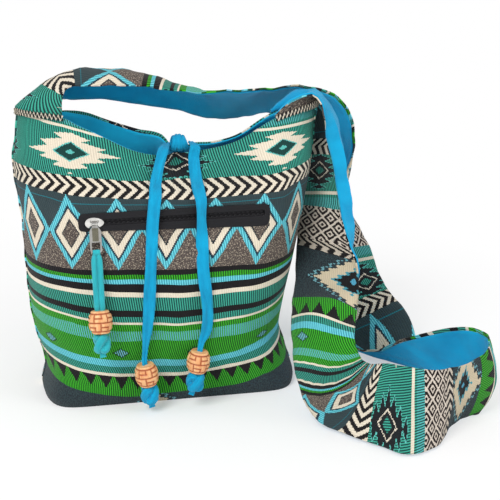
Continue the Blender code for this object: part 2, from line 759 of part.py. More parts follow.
def cord_outline():
    """Side view of the doubled pull cord: an eye round the tab's bar, then down through the bead."""
    eye = [(CORD_EYE * math.cos(math.radians(a)), CORD_EYE * math.sin(math.radians(a)))
           for a in range(-60, 241, 20)]
    half = CORD_THICKNESS / 2
    neck = BEAD_BORE * 0.42
    drops = [0.008, 0.018, 0.030, 0.042, 0.052, 0.058]
    left = [(-half, -d) for d in drops] + [(-neck, -BEAD_DROP + BAR_DROP + BEAD_LENGTH / 2 + 0.002)]
    end = BAR_DROP - PULL_KNOT_DROP + GAP
    left += [(-neck, end)]
    right = [(-a, b) for a, b in reversed(left)]
    return eye + left + right


def build_cord(cloth):
    """A flat doubled cord: its outline is drawn sideways and extruded across the tab's slot."""
    cord = outline_plate("pull_cord", cord_outline(), 0.0080, [cloth])
    # outline x becomes depth, outline y stays down, and the extrusion runs across
    cord.data.transform(Matrix(((0, 0, 1, 0), (1, 0, 0, 0), (0, 1, 0, 0), (0, 0, 0, 1))))
    bead_top = BAR_DROP - BEAD_DROP + BEAD_LENGTH / 2
    for v in cord.data.vertices:
        broad = blend(1.0, CORD_WIDTH / 0.0080, smoothstep((-v.co.z - CORD_EYE) / 0.012))
        narrow = blend(broad, BEAD_BORE * 1.5 / 0.0080, smoothstep((bead_top + 0.010 - v.co.z) / 0.009))
        v.co.x *= narrow
    hole = rod("cord_eye_hole", 0.0021, 0.03, (0, 0, 0), [], sides=12, home=tools)
    cut(cord, hole, "eye")
    return cord, [hole]


def bead(name, wood):
    """Turned bead with a bore; its carved belts are grooves in the profile."""
    half = BEAD_LENGTH / 2
    profile = [(BEAD_BORE, half), (BEAD_RADIUS * 0.66, half)]
    profile += [(BEAD_RADIUS * 0.88, half * 0.78), (BEAD_RADIUS * 0.98, half * 0.42)]
    profile += [(BEAD_RADIUS, BEAD_GROOVE * 1.6), (BEAD_RADIUS - BEAD_GROOVE, 0.0)]
    profile += [(r, -z) for r, z in reversed(profile[:-1])]
    mesh = bpy.data.meshes.new(name)
    count = len(profile)
    mesh.from_pydata([(r, 0, z) for r, z in profile], [(i, (i + 1) % count) for i in range(count)], [])
    made = add_object(name, mesh, [wood])
    turn = made.modifiers.new("turn", "SCREW")
    turn.steps = 14
    turn.render_steps = 14
    turn.use_merge_vertices = True
    turn.merge_threshold = 0.00001
    turn.use_smooth_shade = True
    return made


def knot(name, cloth, width, depth, height, folds=3):
    """Ball of wound cloth: a sphere with shallow helical folds, its top flattened towards the cord."""
    bm = bmesh.new()
    bmesh.ops.create_uvsphere(bm, u_segments=14, v_segments=8, radius=1.0)
    for v in bm.verts:
        turn = math.atan2(v.co.y, v.co.x)
        fold = 1.0 - 0.07 * (1 + math.cos(folds * turn + 5 * v.co.z)) * (1 - v.co.z ** 2)
        v.co.x *= width / 2 * fold
        v.co.y *= depth / 2 * fold
        v.co.z *= height / 2
    return add_object(name, mesh_from(bm, name), [cloth])


def build_pull(metal, cord_cloth, wood):
    pull = pivot("pull_pivot", (SLIDER_START, HINGE_Y, ZIP_HEIGHT), tilt=-PULL_TILT)
    swing = pivot("cord_pivot", (0, 0, -BAR_DROP), parent=pull)
    tab, tab_tools = build_tab(metal)
    cord, cord_tools = build_cord(cord_cloth)
    wooden = bead("pull_bead", wood)
    wooden.location = (0, 0, BAR_DROP - BEAD_DROP)
    ball = knot("pull_knot", cord_cloth, KNOT_RADIUS * 2, KNOT_RADIUS * 1.8, KNOT_RADIUS * 2.1)
    ball.location = (0, 0, BAR_DROP - PULL_KNOT_DROP - KNOT_RADIUS * 1.05)
    for piece in [tab] + tab_tools:
        piece.parent = pull
    for piece in [cord, wooden, ball] + cord_tools:
        piece.parent = swing


# Ties
TIE_X = 0.0165
TIE_KNOT_Y = -0.003
RIM_AT_TIE = RIM_LOW + 0.003
TIE_KNOT_BASE = RIM_AT_TIE + 0.0022
TIE_KNOT_Z = TIE_KNOT_BASE + TIE_KNOT_HEIGHT / 2
# Where each ribbon runs: x and z in millimetres with its width as a share of the full width
LEFT_OVER = (-4, -29, 279)
RIGHT_OVER = (32, -20, 278)
RIBBON_LEFT = [(-11, 264, 0.9), (-16, 250, 1.0), (-18, 241, 1.0), (-20, 232, 1.0), (-22.5, 210, 1.0),
               (-24, 190, 0.95), (-27, 165, 1.0), (-29, 140, 1.0), (-31, 115, 0.95), (-33, 95, 0.8),
               (-35, 78, 0.55), (-36, 66, 0.45)]
RIBBON_RIGHT = [(30, 267, 0.9), (29, 250, 1.0), (28, 241, 1.0), (27, 232, 1.0), (25, 210, 1.0),
                (27, 190, 1.0), (29, 160, 1.0), (31, 130, 1.0), (30, 105, 1.0), (28, 88, 0.8), (26, 78, 0.6)]
LEFT_BEAD = (-0.0355, 0.045)
RIGHT_BEAD = (0.0210, 0.057)
RIBBON_CLEAR = 0.0042


def bead_centre(x, z):
    """Place for a bead that hangs just clear of the belly."""
    nearest = min(front_y(x, z + step * BEAD_LENGTH / 2) for step in (-1, -0.5, 0, 0.5, 1))
    return Vector((x, nearest - BEAD_RADIUS - 0.0012, z))


def facet_y(x, z):
    """World y of the outer's front face at a point, straight between its rows as the cloth is drawn."""
    rim = through(RIM_HEIGHT, share_at(x, z))
    levels = LOW_ROWS + [blend(YOKE_HEIGHT, rim, (k + 1) / RIM_ROWS) for k in range(RIM_ROWS)]
    if z >= rim:
        return front_y(x, rim)
    low = max(level for level in levels if level <= z)
    high = min(level for level in levels if level > z)
    return blend(front_y(x, low), front_y(x, high), (z - low) / (high - low))


def ribbon(name, side, over, path, bead_at, lean, cloth):
    """Flat ribbon from the knot, over the rim and down the front, narrowing through its bead."""
    centre = bead_centre(*bead_at)
    beside = side * (TIE_KNOT_WIDTH * 0.43 + RIBBON_NECK / 2 + 2 * GAP)
    start = Vector((TIE_X + beside, TIE_KNOT_Y, TIE_KNOT_Z))
    spots = [(start, RIBBON_NECK / RIBBON_WIDTH)]
    spots.append((Vector(over) * 0.001, 0.75))
    for x, z, share in path:
        x, z = x * 0.001, z * 0.001
        half = share * RIBBON_WIDTH / 2
        y = min(facet_y(x - half, z), facet_y(x, z), facet_y(x + half, z)) - RIBBON_CLEAR
        spots.append((Vector((x, y, z)), share))
    axis = Vector(lean).normalized()
    top = centre + axis * (BEAD_LENGTH / 2 + 0.004)
    bottom = centre - axis * (BEAD_LENGTH / 2)
    spots += [(top, RIBBON_NECK / RIBBON_WIDTH), (centre, RIBBON_NECK / RIBBON_WIDTH)]
    spots.append((bottom, RIBBON_NECK / RIBBON_WIDTH))
    marks = [0.0]
    for (a, _), (b, _) in zip(spots, spots[1:]):
        marks.append(marks[-1] + (b - a).length)
    steps = 30
    points, widths = [], []
    for k in range(steps + 1):
        place = marks[-1] * k / steps
        points.append(Vector([through([(m, s[0][a]) for m, s in zip(marks, spots)], place)
                              for a in range(3)]))
        widths.append(RIBBON_WIDTH * through([(m, s[1]) for m, s in zip(marks, spots)], place))
    rows = []
    for k, (p, width) in enumerate(zip(points, widths)):
        along = (points[min(k + 1, steps)] - points[max(k - 1, 0)]).normalized()
        face = Vector((0.0, -1.0, 0.35 if k > 3 else 1.2)).normalized()
        flat = along.cross(face).normalized() * (width / 2)
        rows.append([p - flat, p + flat])
    strip = loft(name, rows, [cloth])
    solidify(strip, RIBBON_THICKNESS, 0.0)
    return centre, axis


def build_ties(cloth, wood):
    tied = knot("tie_knot", cloth, TIE_KNOT_WIDTH, 0.0165, TIE_KNOT_HEIGHT, folds=2)
    tied.location = (TIE_X, TIE_KNOT_Y, TIE_KNOT_Z)
    for side, word in ((-1, "front"), (1, "back")):
        a, b = sorted((side * 0.00025, side * 0.00105))
        box("tie_stem_" + word, (TIE_X - 0.006, a, RIM_AT_TIE - 0.020),
            (TIE_X + 0.006, b, TIE_KNOT_BASE - GAP), [cloth])
    for word, side, over, path, at, lean in (
            ("left", -1, LEFT_OVER, RIBBON_LEFT, LEFT_BEAD, (-0.12, 0.02, 1.0)),
            ("right", 1, RIGHT_OVER, RIBBON_RIGHT, RIGHT_BEAD, (0.16, 0.02, 1.0))):
        centre, axis = ribbon("tie_ribbon_" + word, side, over, path, at, lean, cloth)
        tilt = Vector((0, 0, 1)).rotation_difference(axis).to_euler()
        wooden = bead("tie_bead_" + word, wood)
        wooden.location = centre
        wooden.rotation_euler = tilt
        drop = BEAD_LENGTH / 2 + GAP + KNOT_RADIUS
        end = knot("tie_end_" + word, cloth, KNOT_RADIUS * 1.7, KNOT_RADIUS * 1.6, KNOT_RADIUS * 2)
        end.location = centre - axis * drop
        end.rotation_euler = tilt


def build_pocket(cloth):
    """Flat bag of lining cloth that hangs from both zip tapes between the outer and the lining."""
    reach = SLOT_HEIGHT / 2 + 0.0022
    near = TAPE_BACK + ZIP_DEPTH + GAP
    low = ZIP_HEIGHT - POCKET_DEPTH
    mouth = ZIP_HEIGHT - reach
    # front wall's inset and height, then the back wall's
    levels = [(0.0056, low, 0.0074, low), (0.0040, low + 0.012, 0.0088, low + 0.012)]
    levels += [(0.0040, z, 0.0090, z) for z in (LOW_ROWS[10], LOW_ROWS[12], LOW_ROWS[13])]
    levels += [(near, mouth - 0.003, 0.0090, mouth - 0.003), (near, mouth - 0.001, 0.0088, ZIP_HEIGHT)]
    levels += [(near, mouth - 0.0005, 0.0078, ZIP_HEIGHT + reach - 0.0025)]
    levels += [(near, mouth, near + 0.0012, ZIP_HEIGHT + reach)]
    columns = 12
    half = ZIP_LENGTH / 2 - 0.0012
    rows = []
    for front, front_z, back, back_z in levels:
        row = []
        for inset, z, ways in ((front, front_z, range(columns + 1)), (back, back_z, range(columns, -1, -1))):
            for k in ways:
                x = ZIP_CENTRE + blend(-half, half, k / columns)
                skin = -ZIP_DEPTH if abs(z - ZIP_HEIGHT) < 0.018 else front_y(x, z)
                row.append(Vector((x, skin + inset, z)))
        rows.append(row)
    pocket = loft("pocket_bag", rows, [cloth], closed=True, floor=True)
    solidify(pocket, POCKET_CLOTH, -1.0)
    return pocket


def build_all():
    clear_scene()
    band_names = [("base", (0.03, 0.05, 0.06)), ("triangles", (0.04, 0.16, 0.02)),
                  ("green", (0.04, 0.25, 0.02)), ("stripes", (0.05, 0.24, 0.20)),
                  ("diamonds", (0.08, 0.14, 0.15)), ("chevrons", (0.45, 0.40, 0.33)),
                  ("stars", (0.05, 0.28, 0.22))]
    cloths = [material("woven_" + name, colour) for name, colour in band_names]
    turquoise = material("turquoise_cotton", (0.0, 0.27, 0.62))
    ribbon_cloth = material("turquoise_ribbon", (0.0, 0.36, 0.80))
    cord_cloth = material("teal_cord", (0.03, 0.45, 0.55))
    wood = material("carved_wood", (0.75, 0.33, 0.14), 0.6)
    black = material("black_nylon", (0.006, 0.006, 0.007), 0.8)
    teeth = material("black_coil", (0.012, 0.012, 0.014), 0.45)
    steel = material("nickel_plate", (0.72, 0.70, 0.66), 0.25, 1.0)
    build_body(cloths)
    build_lining(turquoise)
    build_pocket(turquoise)
    build_strap(cloths, turquoise)
    build_zip(black, teeth, steel)
    build_slider(steel)
    build_pull(steel, cord_cloth, wood)
    build_ties(ribbon_cloth, wood)


build_all()
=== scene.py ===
# %% [markdown]
# # A sling bag of woven patterned cotton
# The real bag is one length of patterned cotton, folded under the base and sewn up the sides. A plain
# turquoise lining hangs in it, a long wide strap of the same two cloths is sewn to its shoulders, and a
# ribbon tie with carved wooden beads draws the mouth together over a zipped front pocket.
# The fixed frame below holds the measured solids. We dress them with cloth, cord, wood and metal.
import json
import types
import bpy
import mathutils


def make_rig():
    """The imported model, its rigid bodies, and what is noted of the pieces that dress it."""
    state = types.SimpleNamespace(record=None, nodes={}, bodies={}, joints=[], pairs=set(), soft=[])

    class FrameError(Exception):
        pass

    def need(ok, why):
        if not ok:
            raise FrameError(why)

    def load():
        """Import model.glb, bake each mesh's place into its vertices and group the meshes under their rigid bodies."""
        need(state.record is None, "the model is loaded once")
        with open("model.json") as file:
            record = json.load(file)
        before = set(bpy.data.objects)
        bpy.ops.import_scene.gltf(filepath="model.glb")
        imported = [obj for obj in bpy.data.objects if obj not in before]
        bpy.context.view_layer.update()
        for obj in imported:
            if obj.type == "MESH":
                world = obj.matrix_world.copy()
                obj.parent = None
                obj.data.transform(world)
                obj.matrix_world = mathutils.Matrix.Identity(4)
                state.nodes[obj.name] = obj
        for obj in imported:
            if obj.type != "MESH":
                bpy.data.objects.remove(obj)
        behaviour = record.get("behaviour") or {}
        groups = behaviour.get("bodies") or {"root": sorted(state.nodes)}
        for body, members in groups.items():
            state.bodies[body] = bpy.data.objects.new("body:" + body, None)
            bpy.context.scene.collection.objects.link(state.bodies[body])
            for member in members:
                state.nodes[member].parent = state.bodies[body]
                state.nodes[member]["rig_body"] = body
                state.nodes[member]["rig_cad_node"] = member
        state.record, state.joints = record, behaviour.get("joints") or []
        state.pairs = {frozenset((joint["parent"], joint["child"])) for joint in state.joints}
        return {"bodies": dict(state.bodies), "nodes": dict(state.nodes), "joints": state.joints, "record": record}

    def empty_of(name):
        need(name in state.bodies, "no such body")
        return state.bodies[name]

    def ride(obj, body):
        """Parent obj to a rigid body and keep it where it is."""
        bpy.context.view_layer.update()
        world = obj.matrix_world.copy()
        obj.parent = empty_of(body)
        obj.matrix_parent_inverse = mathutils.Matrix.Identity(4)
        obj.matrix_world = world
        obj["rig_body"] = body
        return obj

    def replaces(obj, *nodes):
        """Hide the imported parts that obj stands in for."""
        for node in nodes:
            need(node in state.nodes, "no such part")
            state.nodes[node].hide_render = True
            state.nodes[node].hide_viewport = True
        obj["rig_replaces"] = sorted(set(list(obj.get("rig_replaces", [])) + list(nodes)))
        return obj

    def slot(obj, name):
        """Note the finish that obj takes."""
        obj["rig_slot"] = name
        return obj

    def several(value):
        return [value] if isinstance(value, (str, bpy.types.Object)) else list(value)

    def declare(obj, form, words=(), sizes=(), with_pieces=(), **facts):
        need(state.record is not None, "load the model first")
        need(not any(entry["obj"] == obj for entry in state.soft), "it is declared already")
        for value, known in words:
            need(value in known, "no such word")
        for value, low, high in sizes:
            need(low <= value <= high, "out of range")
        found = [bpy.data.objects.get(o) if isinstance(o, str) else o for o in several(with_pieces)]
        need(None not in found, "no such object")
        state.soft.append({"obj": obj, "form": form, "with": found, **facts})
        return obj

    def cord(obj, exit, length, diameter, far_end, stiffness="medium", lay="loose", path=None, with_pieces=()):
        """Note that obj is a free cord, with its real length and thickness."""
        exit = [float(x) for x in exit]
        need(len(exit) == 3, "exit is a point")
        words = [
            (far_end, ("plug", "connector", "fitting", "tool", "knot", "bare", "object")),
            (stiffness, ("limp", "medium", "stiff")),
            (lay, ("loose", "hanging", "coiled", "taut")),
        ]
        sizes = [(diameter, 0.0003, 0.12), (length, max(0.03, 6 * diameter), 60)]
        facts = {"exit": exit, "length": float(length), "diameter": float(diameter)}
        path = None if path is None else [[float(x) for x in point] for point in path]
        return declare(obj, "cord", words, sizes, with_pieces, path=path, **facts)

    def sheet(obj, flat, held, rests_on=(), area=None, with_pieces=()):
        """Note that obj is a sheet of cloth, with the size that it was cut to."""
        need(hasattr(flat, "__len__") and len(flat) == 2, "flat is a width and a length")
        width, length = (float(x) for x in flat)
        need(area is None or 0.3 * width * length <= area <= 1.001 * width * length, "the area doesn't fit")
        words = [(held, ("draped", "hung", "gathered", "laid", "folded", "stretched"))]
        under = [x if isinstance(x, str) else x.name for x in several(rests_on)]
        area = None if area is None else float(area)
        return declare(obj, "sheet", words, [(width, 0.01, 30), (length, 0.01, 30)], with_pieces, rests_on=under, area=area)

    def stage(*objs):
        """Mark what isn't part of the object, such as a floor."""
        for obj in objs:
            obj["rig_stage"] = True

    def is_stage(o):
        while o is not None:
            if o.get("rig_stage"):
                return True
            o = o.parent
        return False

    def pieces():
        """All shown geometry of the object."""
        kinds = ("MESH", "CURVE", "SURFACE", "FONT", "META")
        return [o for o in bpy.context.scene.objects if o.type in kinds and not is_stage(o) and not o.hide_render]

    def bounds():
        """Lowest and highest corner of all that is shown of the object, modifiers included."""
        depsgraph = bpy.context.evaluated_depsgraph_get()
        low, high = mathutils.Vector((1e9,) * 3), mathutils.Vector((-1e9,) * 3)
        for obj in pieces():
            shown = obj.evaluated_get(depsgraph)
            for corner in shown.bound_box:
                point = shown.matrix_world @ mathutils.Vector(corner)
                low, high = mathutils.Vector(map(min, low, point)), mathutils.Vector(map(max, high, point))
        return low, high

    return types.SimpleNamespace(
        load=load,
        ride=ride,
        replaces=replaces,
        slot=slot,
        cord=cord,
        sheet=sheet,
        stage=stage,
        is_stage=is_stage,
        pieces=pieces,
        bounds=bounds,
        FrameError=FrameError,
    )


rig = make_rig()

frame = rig.load()

# %% [markdown]
# ## Tools and the size of the solids
# The box that the solids fill is kept, so that it can be written out beside the dressed bag's box at the end.
# Blender's operators act on whatever is selected, so two helpers let go of everything or take up one piece.

# %% Tools for the lesson
import json
import math

import bpy
import bmesh
from mathutils import Matrix, Vector

cad_box = [[float(value) for value in corner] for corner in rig.bounds()]
print("the solids fill", cad_box)


def let_go():
    """Object mode and nothing selected."""
    if bpy.context.object and bpy.context.object.mode != "OBJECT":
        bpy.ops.object.mode_set(mode="OBJECT")
    bpy.ops.object.select_all(action="DESELECT")


def take_up(piece, *others):
    """Selects a piece, and any others with it, and makes that piece the active one."""
    let_go()
    for each in (piece, *others):
        each.select_set(True)
    bpy.context.view_layer.objects.active = piece


let_go()

# %% [markdown]
# ## The camera comes first
# The bag stands a little left of the picture's middle and is seen from slightly above and to its left.
# A long lens far away keeps its sides nearly parallel, as in a catalogue photograph.

# %% Aim the camera
LOOK_AT = Vector((0.087, -0.048, 0.165))
VIEW_TURN, VIEW_RISE, VIEW_AWAY = math.radians(-11), math.radians(20), 1.5


def aim_camera():
    level = math.cos(VIEW_RISE)
    way = Vector((math.sin(VIEW_TURN) * level, -math.cos(VIEW_TURN) * level, math.sin(VIEW_RISE)))
    lens = bpy.data.cameras.new("long_lens")
    lens.lens = 98.2
    lens.sensor_width = 36
    camera = bpy.data.objects.new("camera", lens)
    bpy.context.scene.collection.objects.link(camera)
    camera.location = LOOK_AT + way * VIEW_AWAY
    camera.rotation_euler = way.to_track_quat("Z", "Y").to_euler()
    bpy.context.scene.camera = camera
    return camera


camera = aim_camera()
print("camera at", [round(value, 3) for value in camera.location])

# %% [markdown]
# ## Materials are built from nodes
# A node does one small job, and each of its sockets takes a number, a colour or another node's result. These
# helpers add a node with its sockets filled, and start a material with its roughness, sheen and gloss.

# %% Node helpers


def feed(tree, socket, value):
    """Fills a socket with another node's result, with a Thread's end or with a plain value."""
    value = getattr(value, "end", value)
    if isinstance(value, bpy.types.NodeSocket):
        tree.links.new(value, socket)
    else:
        socket.default_value = value


def add_node(tree, kind, values=(), operation=None):
    """A new node; the values go to its sockets by name or by number."""
    node = tree.nodes.new("ShaderNode" + kind)
    if operation:
        node.operation = operation
    for socket, value in dict(values).items():
        feed(tree, node.inputs[socket], value)
    return node


def feed_shader(tree, socket, value):
    feed(tree, tree.nodes["Principled BSDF"].inputs[socket], value)


def new_finish(name, roughness, sheen=0.0, gloss=0.25):
    shade = bpy.data.materials.new(name)
    shade.use_nodes = True
    for socket, value in (("Roughness", roughness), ("Sheen Weight", sheen), ("Sheen Roughness", 0.5),
                          ("Specular IOR Level", gloss)):
        feed_shader(shade.node_tree, socket, value)
    return shade


# %% [markdown]
# ## Floor and light
# Cloth shows its weave best in broad, soft light: a big lamp high on the left, a weaker one on the right and
# a pale world that fills the shadows. The floor is a wide pale sheet that keeps the bag's shadow. Away from
# the bag it fades into white, but only for the camera, so that it throws no more light.

# %% Lay the floor and hang the lamps
FADE_STARTS, FADE_ENDS, FADE_LEAST = 0.12, 0.62, 0.22
SKY_LIGHT, SKY_SEEN = 0.62, 1.0
LAMPS_AIM = (0.05, -0.05, 0.15)
bpy.context.scene.view_settings.view_transform = "Standard"


def lay_floor():
    bpy.ops.mesh.primitive_plane_add(size=14, location=(0, 0, 0))
    floor = bpy.context.object
    floor.name = "studio_floor"
    paper = new_finish("pale_paper", 0.9, gloss=0.1)
    tree = paper.node_tree
    feed_shader(tree, "Base Color", (0.96, 0.96, 0.96, 1))
    place, path = (tree.nodes.new("ShaderNode" + kind) for kind in ("TexCoord", "LightPath"))
    reach = add_node(tree, "VectorMath", {0: place.outputs["Object"]}, "LENGTH")
    far = add_node(tree, "MapRange", {"Value": reach.outputs["Value"], "From Min": FADE_STARTS,
                                      "From Max": FADE_ENDS, "To Min": FADE_LEAST})
    seen = add_node(tree, "Math", {0: far.outputs["Result"], 1: path.outputs["Is Camera Ray"]}, "MULTIPLY")
    glow = tree.nodes.new("ShaderNodeEmission")
    mix = add_node(tree, "MixShader", {0: seen.outputs[0], 1: tree.nodes["Principled BSDF"].outputs[0],
                                       2: glow.outputs[0]})
    feed(tree, tree.nodes["Material Output"].inputs["Surface"], mix.outputs[0])
    floor.data.materials.append(paper)
    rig.stage(floor)


def hang_lamp(name, place, size, watts):
    bpy.ops.object.light_add(type="AREA", location=place)
    lamp = bpy.context.object
    lamp.name = name
    lamp.data.shape = "DISK"
    lamp.data.size = size
    lamp.data.energy = watts
    lamp.rotation_euler = (Vector(place) - Vector(LAMPS_AIM)).to_track_quat("Z", "Y").to_euler()


def brighten_room():
    sky = bpy.data.worlds.new("pale_room")
    sky.use_nodes = True
    tree = sky.node_tree
    room = tree.nodes["Background"].inputs
    room["Color"].default_value = (1, 1, 1, 1)
    path = tree.nodes.new("ShaderNodeLightPath")
    level = add_node(tree, "MapRange", {"Value": path.outputs["Is Camera Ray"], "To Min": SKY_LIGHT,
                                        "To Max": SKY_SEEN})
    feed(tree, room["Strength"], level.outputs["Result"])
    bpy.context.scene.world = sky


lay_floor()
hang_lamp("window_left", (-1.6, -2.0, 2.6), 1.8, 74)
hang_lamp("window_right", (2.4, -1.6, 1.6), 1.6, 20)
brighten_room()
let_go()

# %% [markdown]
# ## Smooth curves through measured points
# A soft bag has no straight lines. Its outline is kept as a few heights with a half width and a depth at
# each, and a smooth curve runs through them, as a flexible batten runs through a tailor's pins.

# %% Curves for the bag's outline


def smoothstep(t):
    t = min(max(t, 0.0), 1.0)
    return t * t * (3 - 2 * t)


def blend(a, b, t):
    return a + (b - a) * t


def through(table, x):
    """Smooth value at x of a curve through (x, value) points."""
    if x <= table[0][0]:
        return table[0][1]
    if x >= table[-1][0]:
        return table[-1][1]
    i = max(k for k in range(len(table) - 1) if table[k][0] <= x)
    (x0, y0), (x1, y1) = table[i], table[i + 1]
    before, after = table[max(i - 1, 0)], table[min(i + 2, len(table) - 1)]  # the ends lean on themselves
    slope0, slope1 = (y1 - before[1]) / (x1 - before[0]), (after[1] - y0) / (after[0] - x0)
    h, t = x1 - x0, (x - x0) / (x1 - x0)
    start = (1 + 2 * t) * (1 - t) ** 2 * y0 + t * (1 - t) ** 2 * h * slope0
    return start + t * t * (3 - 2 * t) * y1 + t * t * (t - 1) * h * slope1


def straight(table, x):
    """Value at x on straight lines between the points."""
    for (x0, y0), (x1, y1) in zip(table, table[1:]):
        if x <= x1:
            return blend(y0, y1, max((x - x0) / (x1 - x0), 0.0))
    return table[-1][1]


CLOTH, LINING, GAP = 0.0018, 0.0010, 0.0003
BAG_TOP = 0.322
HALF_WIDTH = [(0.0, 0.143), (0.008, 0.144), (0.032, 0.1375), (0.060, 0.137), (0.092, 0.142), (0.145, 0.1495),
              (0.205, 0.1565), (0.265, 0.1645), (0.322, 0.1635)]
FRONT_DEPTH = [(0.0, 0.066), (0.012, 0.070), (0.026, 0.071), (0.045, 0.074), (0.075, 0.080), (0.115, 0.083),
               (0.165, 0.079), (0.214, 0.070), (0.245, 0.059), (0.280, 0.043), (0.322, 0.028)]
BACK_DEPTH = [(0.0, 0.055), (0.015, 0.058), (0.060, 0.070), (0.120, 0.076), (0.190, 0.068), (0.250, 0.054),
              (0.322, 0.030)]
LEAN = [(0.0, -0.001), (0.032, -0.002), (0.062, -0.009), (0.10, -0.0093), (0.15, -0.005), (0.21, 0.0),
        (0.30, 0.002)]
SHOULDER_FROM, SHOULDER_HALF, SHOULDER_LEAN = 0.262, 0.163, 0.007
CORNER = 0.116 / SHOULDER_HALF
TIE_AT = 0.085
LEFT_GAP, RIGHT_GAP, RIM_FALL = 0.015, 0.012, 0.055
RIM = [(-1.0, 0.323), (-CORNER, 0.316), (-0.63, 0.310), (-0.49, 0.301), (-0.29, 0.286), (-0.13, 0.2765),
       (TIE_AT, 0.268), (0.19, 0.271), (0.37, 0.275), (0.50, 0.282), (CORNER, 0.303), (1.0, 0.316)]
BACK_RISE = [(-CORNER, 0.0), (-0.60, 0.004), (-0.40, 0.004), (-0.16, 0.0075), (-0.01, 0.011),
             (TIE_AT - 0.02, 0.001), (TIE_AT, 0.0), (0.19, 0.002), (0.30, 0.0)]
HALF_GAP = [(-CORNER, LEFT_GAP), (-0.63, 0.0249), (-0.49, 0.0378), (-0.29, 0.043), (-0.13, 0.0353),
            (-0.01, 0.0224), (TIE_AT - 0.03, 0.0056), (TIE_AT, 0.0046), (TIE_AT + 0.03, 0.0056),
            (0.19, 0.0129), (0.37, 0.012), (0.50, 0.0103), (CORNER, RIGHT_GAP)]
ZIP_MID, ZIP_HALF, ZIP_Z, ZIP_Y, SLOT_HALF = 0.004, 0.100, 0.214, 0.067, 0.00875

# %% [markdown]
# ## The skin of the bag
# Every point of the cloth has a share of the way across, from -1 at the left seam to 1 at the right one, and
# a height. The depth falls off towards the seams, closes to the mouth's narrow gap at the rim, and is held
# flat along the zip, where the stiff tape keeps the cloth from bulging.

# %% Where the skin lies


def rim_height(share, front=True):
    """The back rim stands a little higher than the front one beside the tie."""
    return through(RIM, share) + (0.0 if front else through(BACK_RISE, share))


def half_gap(share):
    if abs(share) <= CORNER:
        return through(HALF_GAP, share)
    t = min((abs(share) - CORNER) / (1 - CORNER), 1.0)
    return (LEFT_GAP if share < 0 else RIGHT_GAP) * math.sqrt(max(1 - t * t, 0.0))


def across(share, z):
    """x of a point of the cloth; near the top the outline's own width and lean give way to the shoulders'."""
    upper = smoothstep((z - SHOULDER_FROM) / (BAG_TOP - SHOULDER_FROM))
    half = blend(through(HALF_WIDTH, z), SHOULDER_HALF, upper)
    return blend(through(LEAN, z), SHOULDER_LEAN, upper) + share * half


def share_at(x, z):
    middle = across(0.0, z)
    return (x - middle) / (across(1.0, z) - middle)


def skin_depth(share, z, front=True):
    """How far the cloth stands from the middle: square at the base, rounder above, closed at the rim."""
    power = blend(14.0, 4.0, smoothstep(z / 0.065))
    round_off = math.sqrt(max(1 - abs(share) ** power, 0.0))
    belly = through(FRONT_DEPTH if front else BACK_DEPTH, z) * round_off
    to_rim = min(max(1 - (rim_height(share, front) - z) / RIM_FALL, 0.0), 1.0) ** 1.5
    depth = blend(belly, half_gap(share), to_rim)
    if front:
        x = across(share, z)
        flat = smoothstep((ZIP_HALF + 0.035 - abs(x - ZIP_MID)) / 0.022)
        flat *= smoothstep((0.038 - abs(z - ZIP_Z)) / 0.022)
        depth = blend(depth, ZIP_Y, flat)
    return depth


def front_y(x, z):
    return -skin_depth(share_at(x, z), z)


print("belly stands", round(-front_y(0.0, 0.115), 4), "m in front of the middle")

# %% [markdown]
# ## Sheets from rows of points
# A cloth surface is a loft: rows of points joined by squares. Each corner also gets a place on the flat
# cloth, its UV, so that the woven pattern follows the cloth round every fold. Solidify gives the thickness.
# Each finished piece is dressed: it gets its material, the body that it moves with, its slot in the record
# and the name of the solid that it stands for.

# %% Make a sheet


def finish_mesh(name, bm, smooth=40):
    mesh = bpy.data.meshes.new(name)
    bm.to_mesh(mesh)
    bm.free()
    piece = bpy.data.objects.new(name, mesh)
    bpy.context.scene.collection.objects.link(piece)
    take_up(piece)
    bpy.ops.object.shade_smooth_by_angle(angle=math.radians(smooth))
    return piece


def sheet_of(name, rows, flat, closed=False, floor=False, skip=None):
    """Loft of rows of points. flat(i, j) is the cloth's own (across, along) place of a corner in metres."""
    bm = bmesh.new()
    woven = bm.loops.layers.uv.new("woven")
    grid = [[bm.verts.new(p) for p in row] for row in rows]
    count = len(rows[0])
    for i in range(len(rows) - 1):
        for j in range(count if closed else count - 1):
            if skip and skip(i, j):
                continue
            k = (j + 1) % count
            face = bm.faces.new((grid[i][j], grid[i][k], grid[i + 1][k], grid[i + 1][j]))
            for loop, (a, b) in zip(face.loops, ((i, j), (i, j + 1), (i + 1, j + 1), (i + 1, j))):
                loop[woven].uv = flat(a, b)
    if floor:
        for loop in bm.faces.new(grid[0][::-1]).loops:
            loop[woven].uv = (loop.vert.co.x, abs(loop.vert.co.y))
    bmesh.ops.delete(bm, geom=[v for v in bm.verts if not v.link_faces], context="VERTS")
    return finish_mesh(name, bm)


def thicken(piece, thickness, offset=-1.0):
    wall = piece.modifiers.new("wall", "SOLIDIFY")
    wall.thickness = thickness
    wall.offset = offset
    wall.use_even_offset = False
    take_up(piece)
    bpy.ops.object.modifier_apply(modifier=wall.name)


def dress(piece, finish, body, slot, node=None):
    piece.data.materials.clear()
    piece.data.materials.append(finish)
    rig.ride(piece, body)
    if node:
        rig.replaces(piece, node)
    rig.slot(piece, slot)


# %% [markdown]
# ## Drawing with threads
# The kilim pattern is drawn by arithmetic on the cloth's own coordinates. A Thread is a number that flows
# through the shader: adding or comparing two of them adds one Math node, so a motif reads like its formula.

# %% Threads of arithmetic


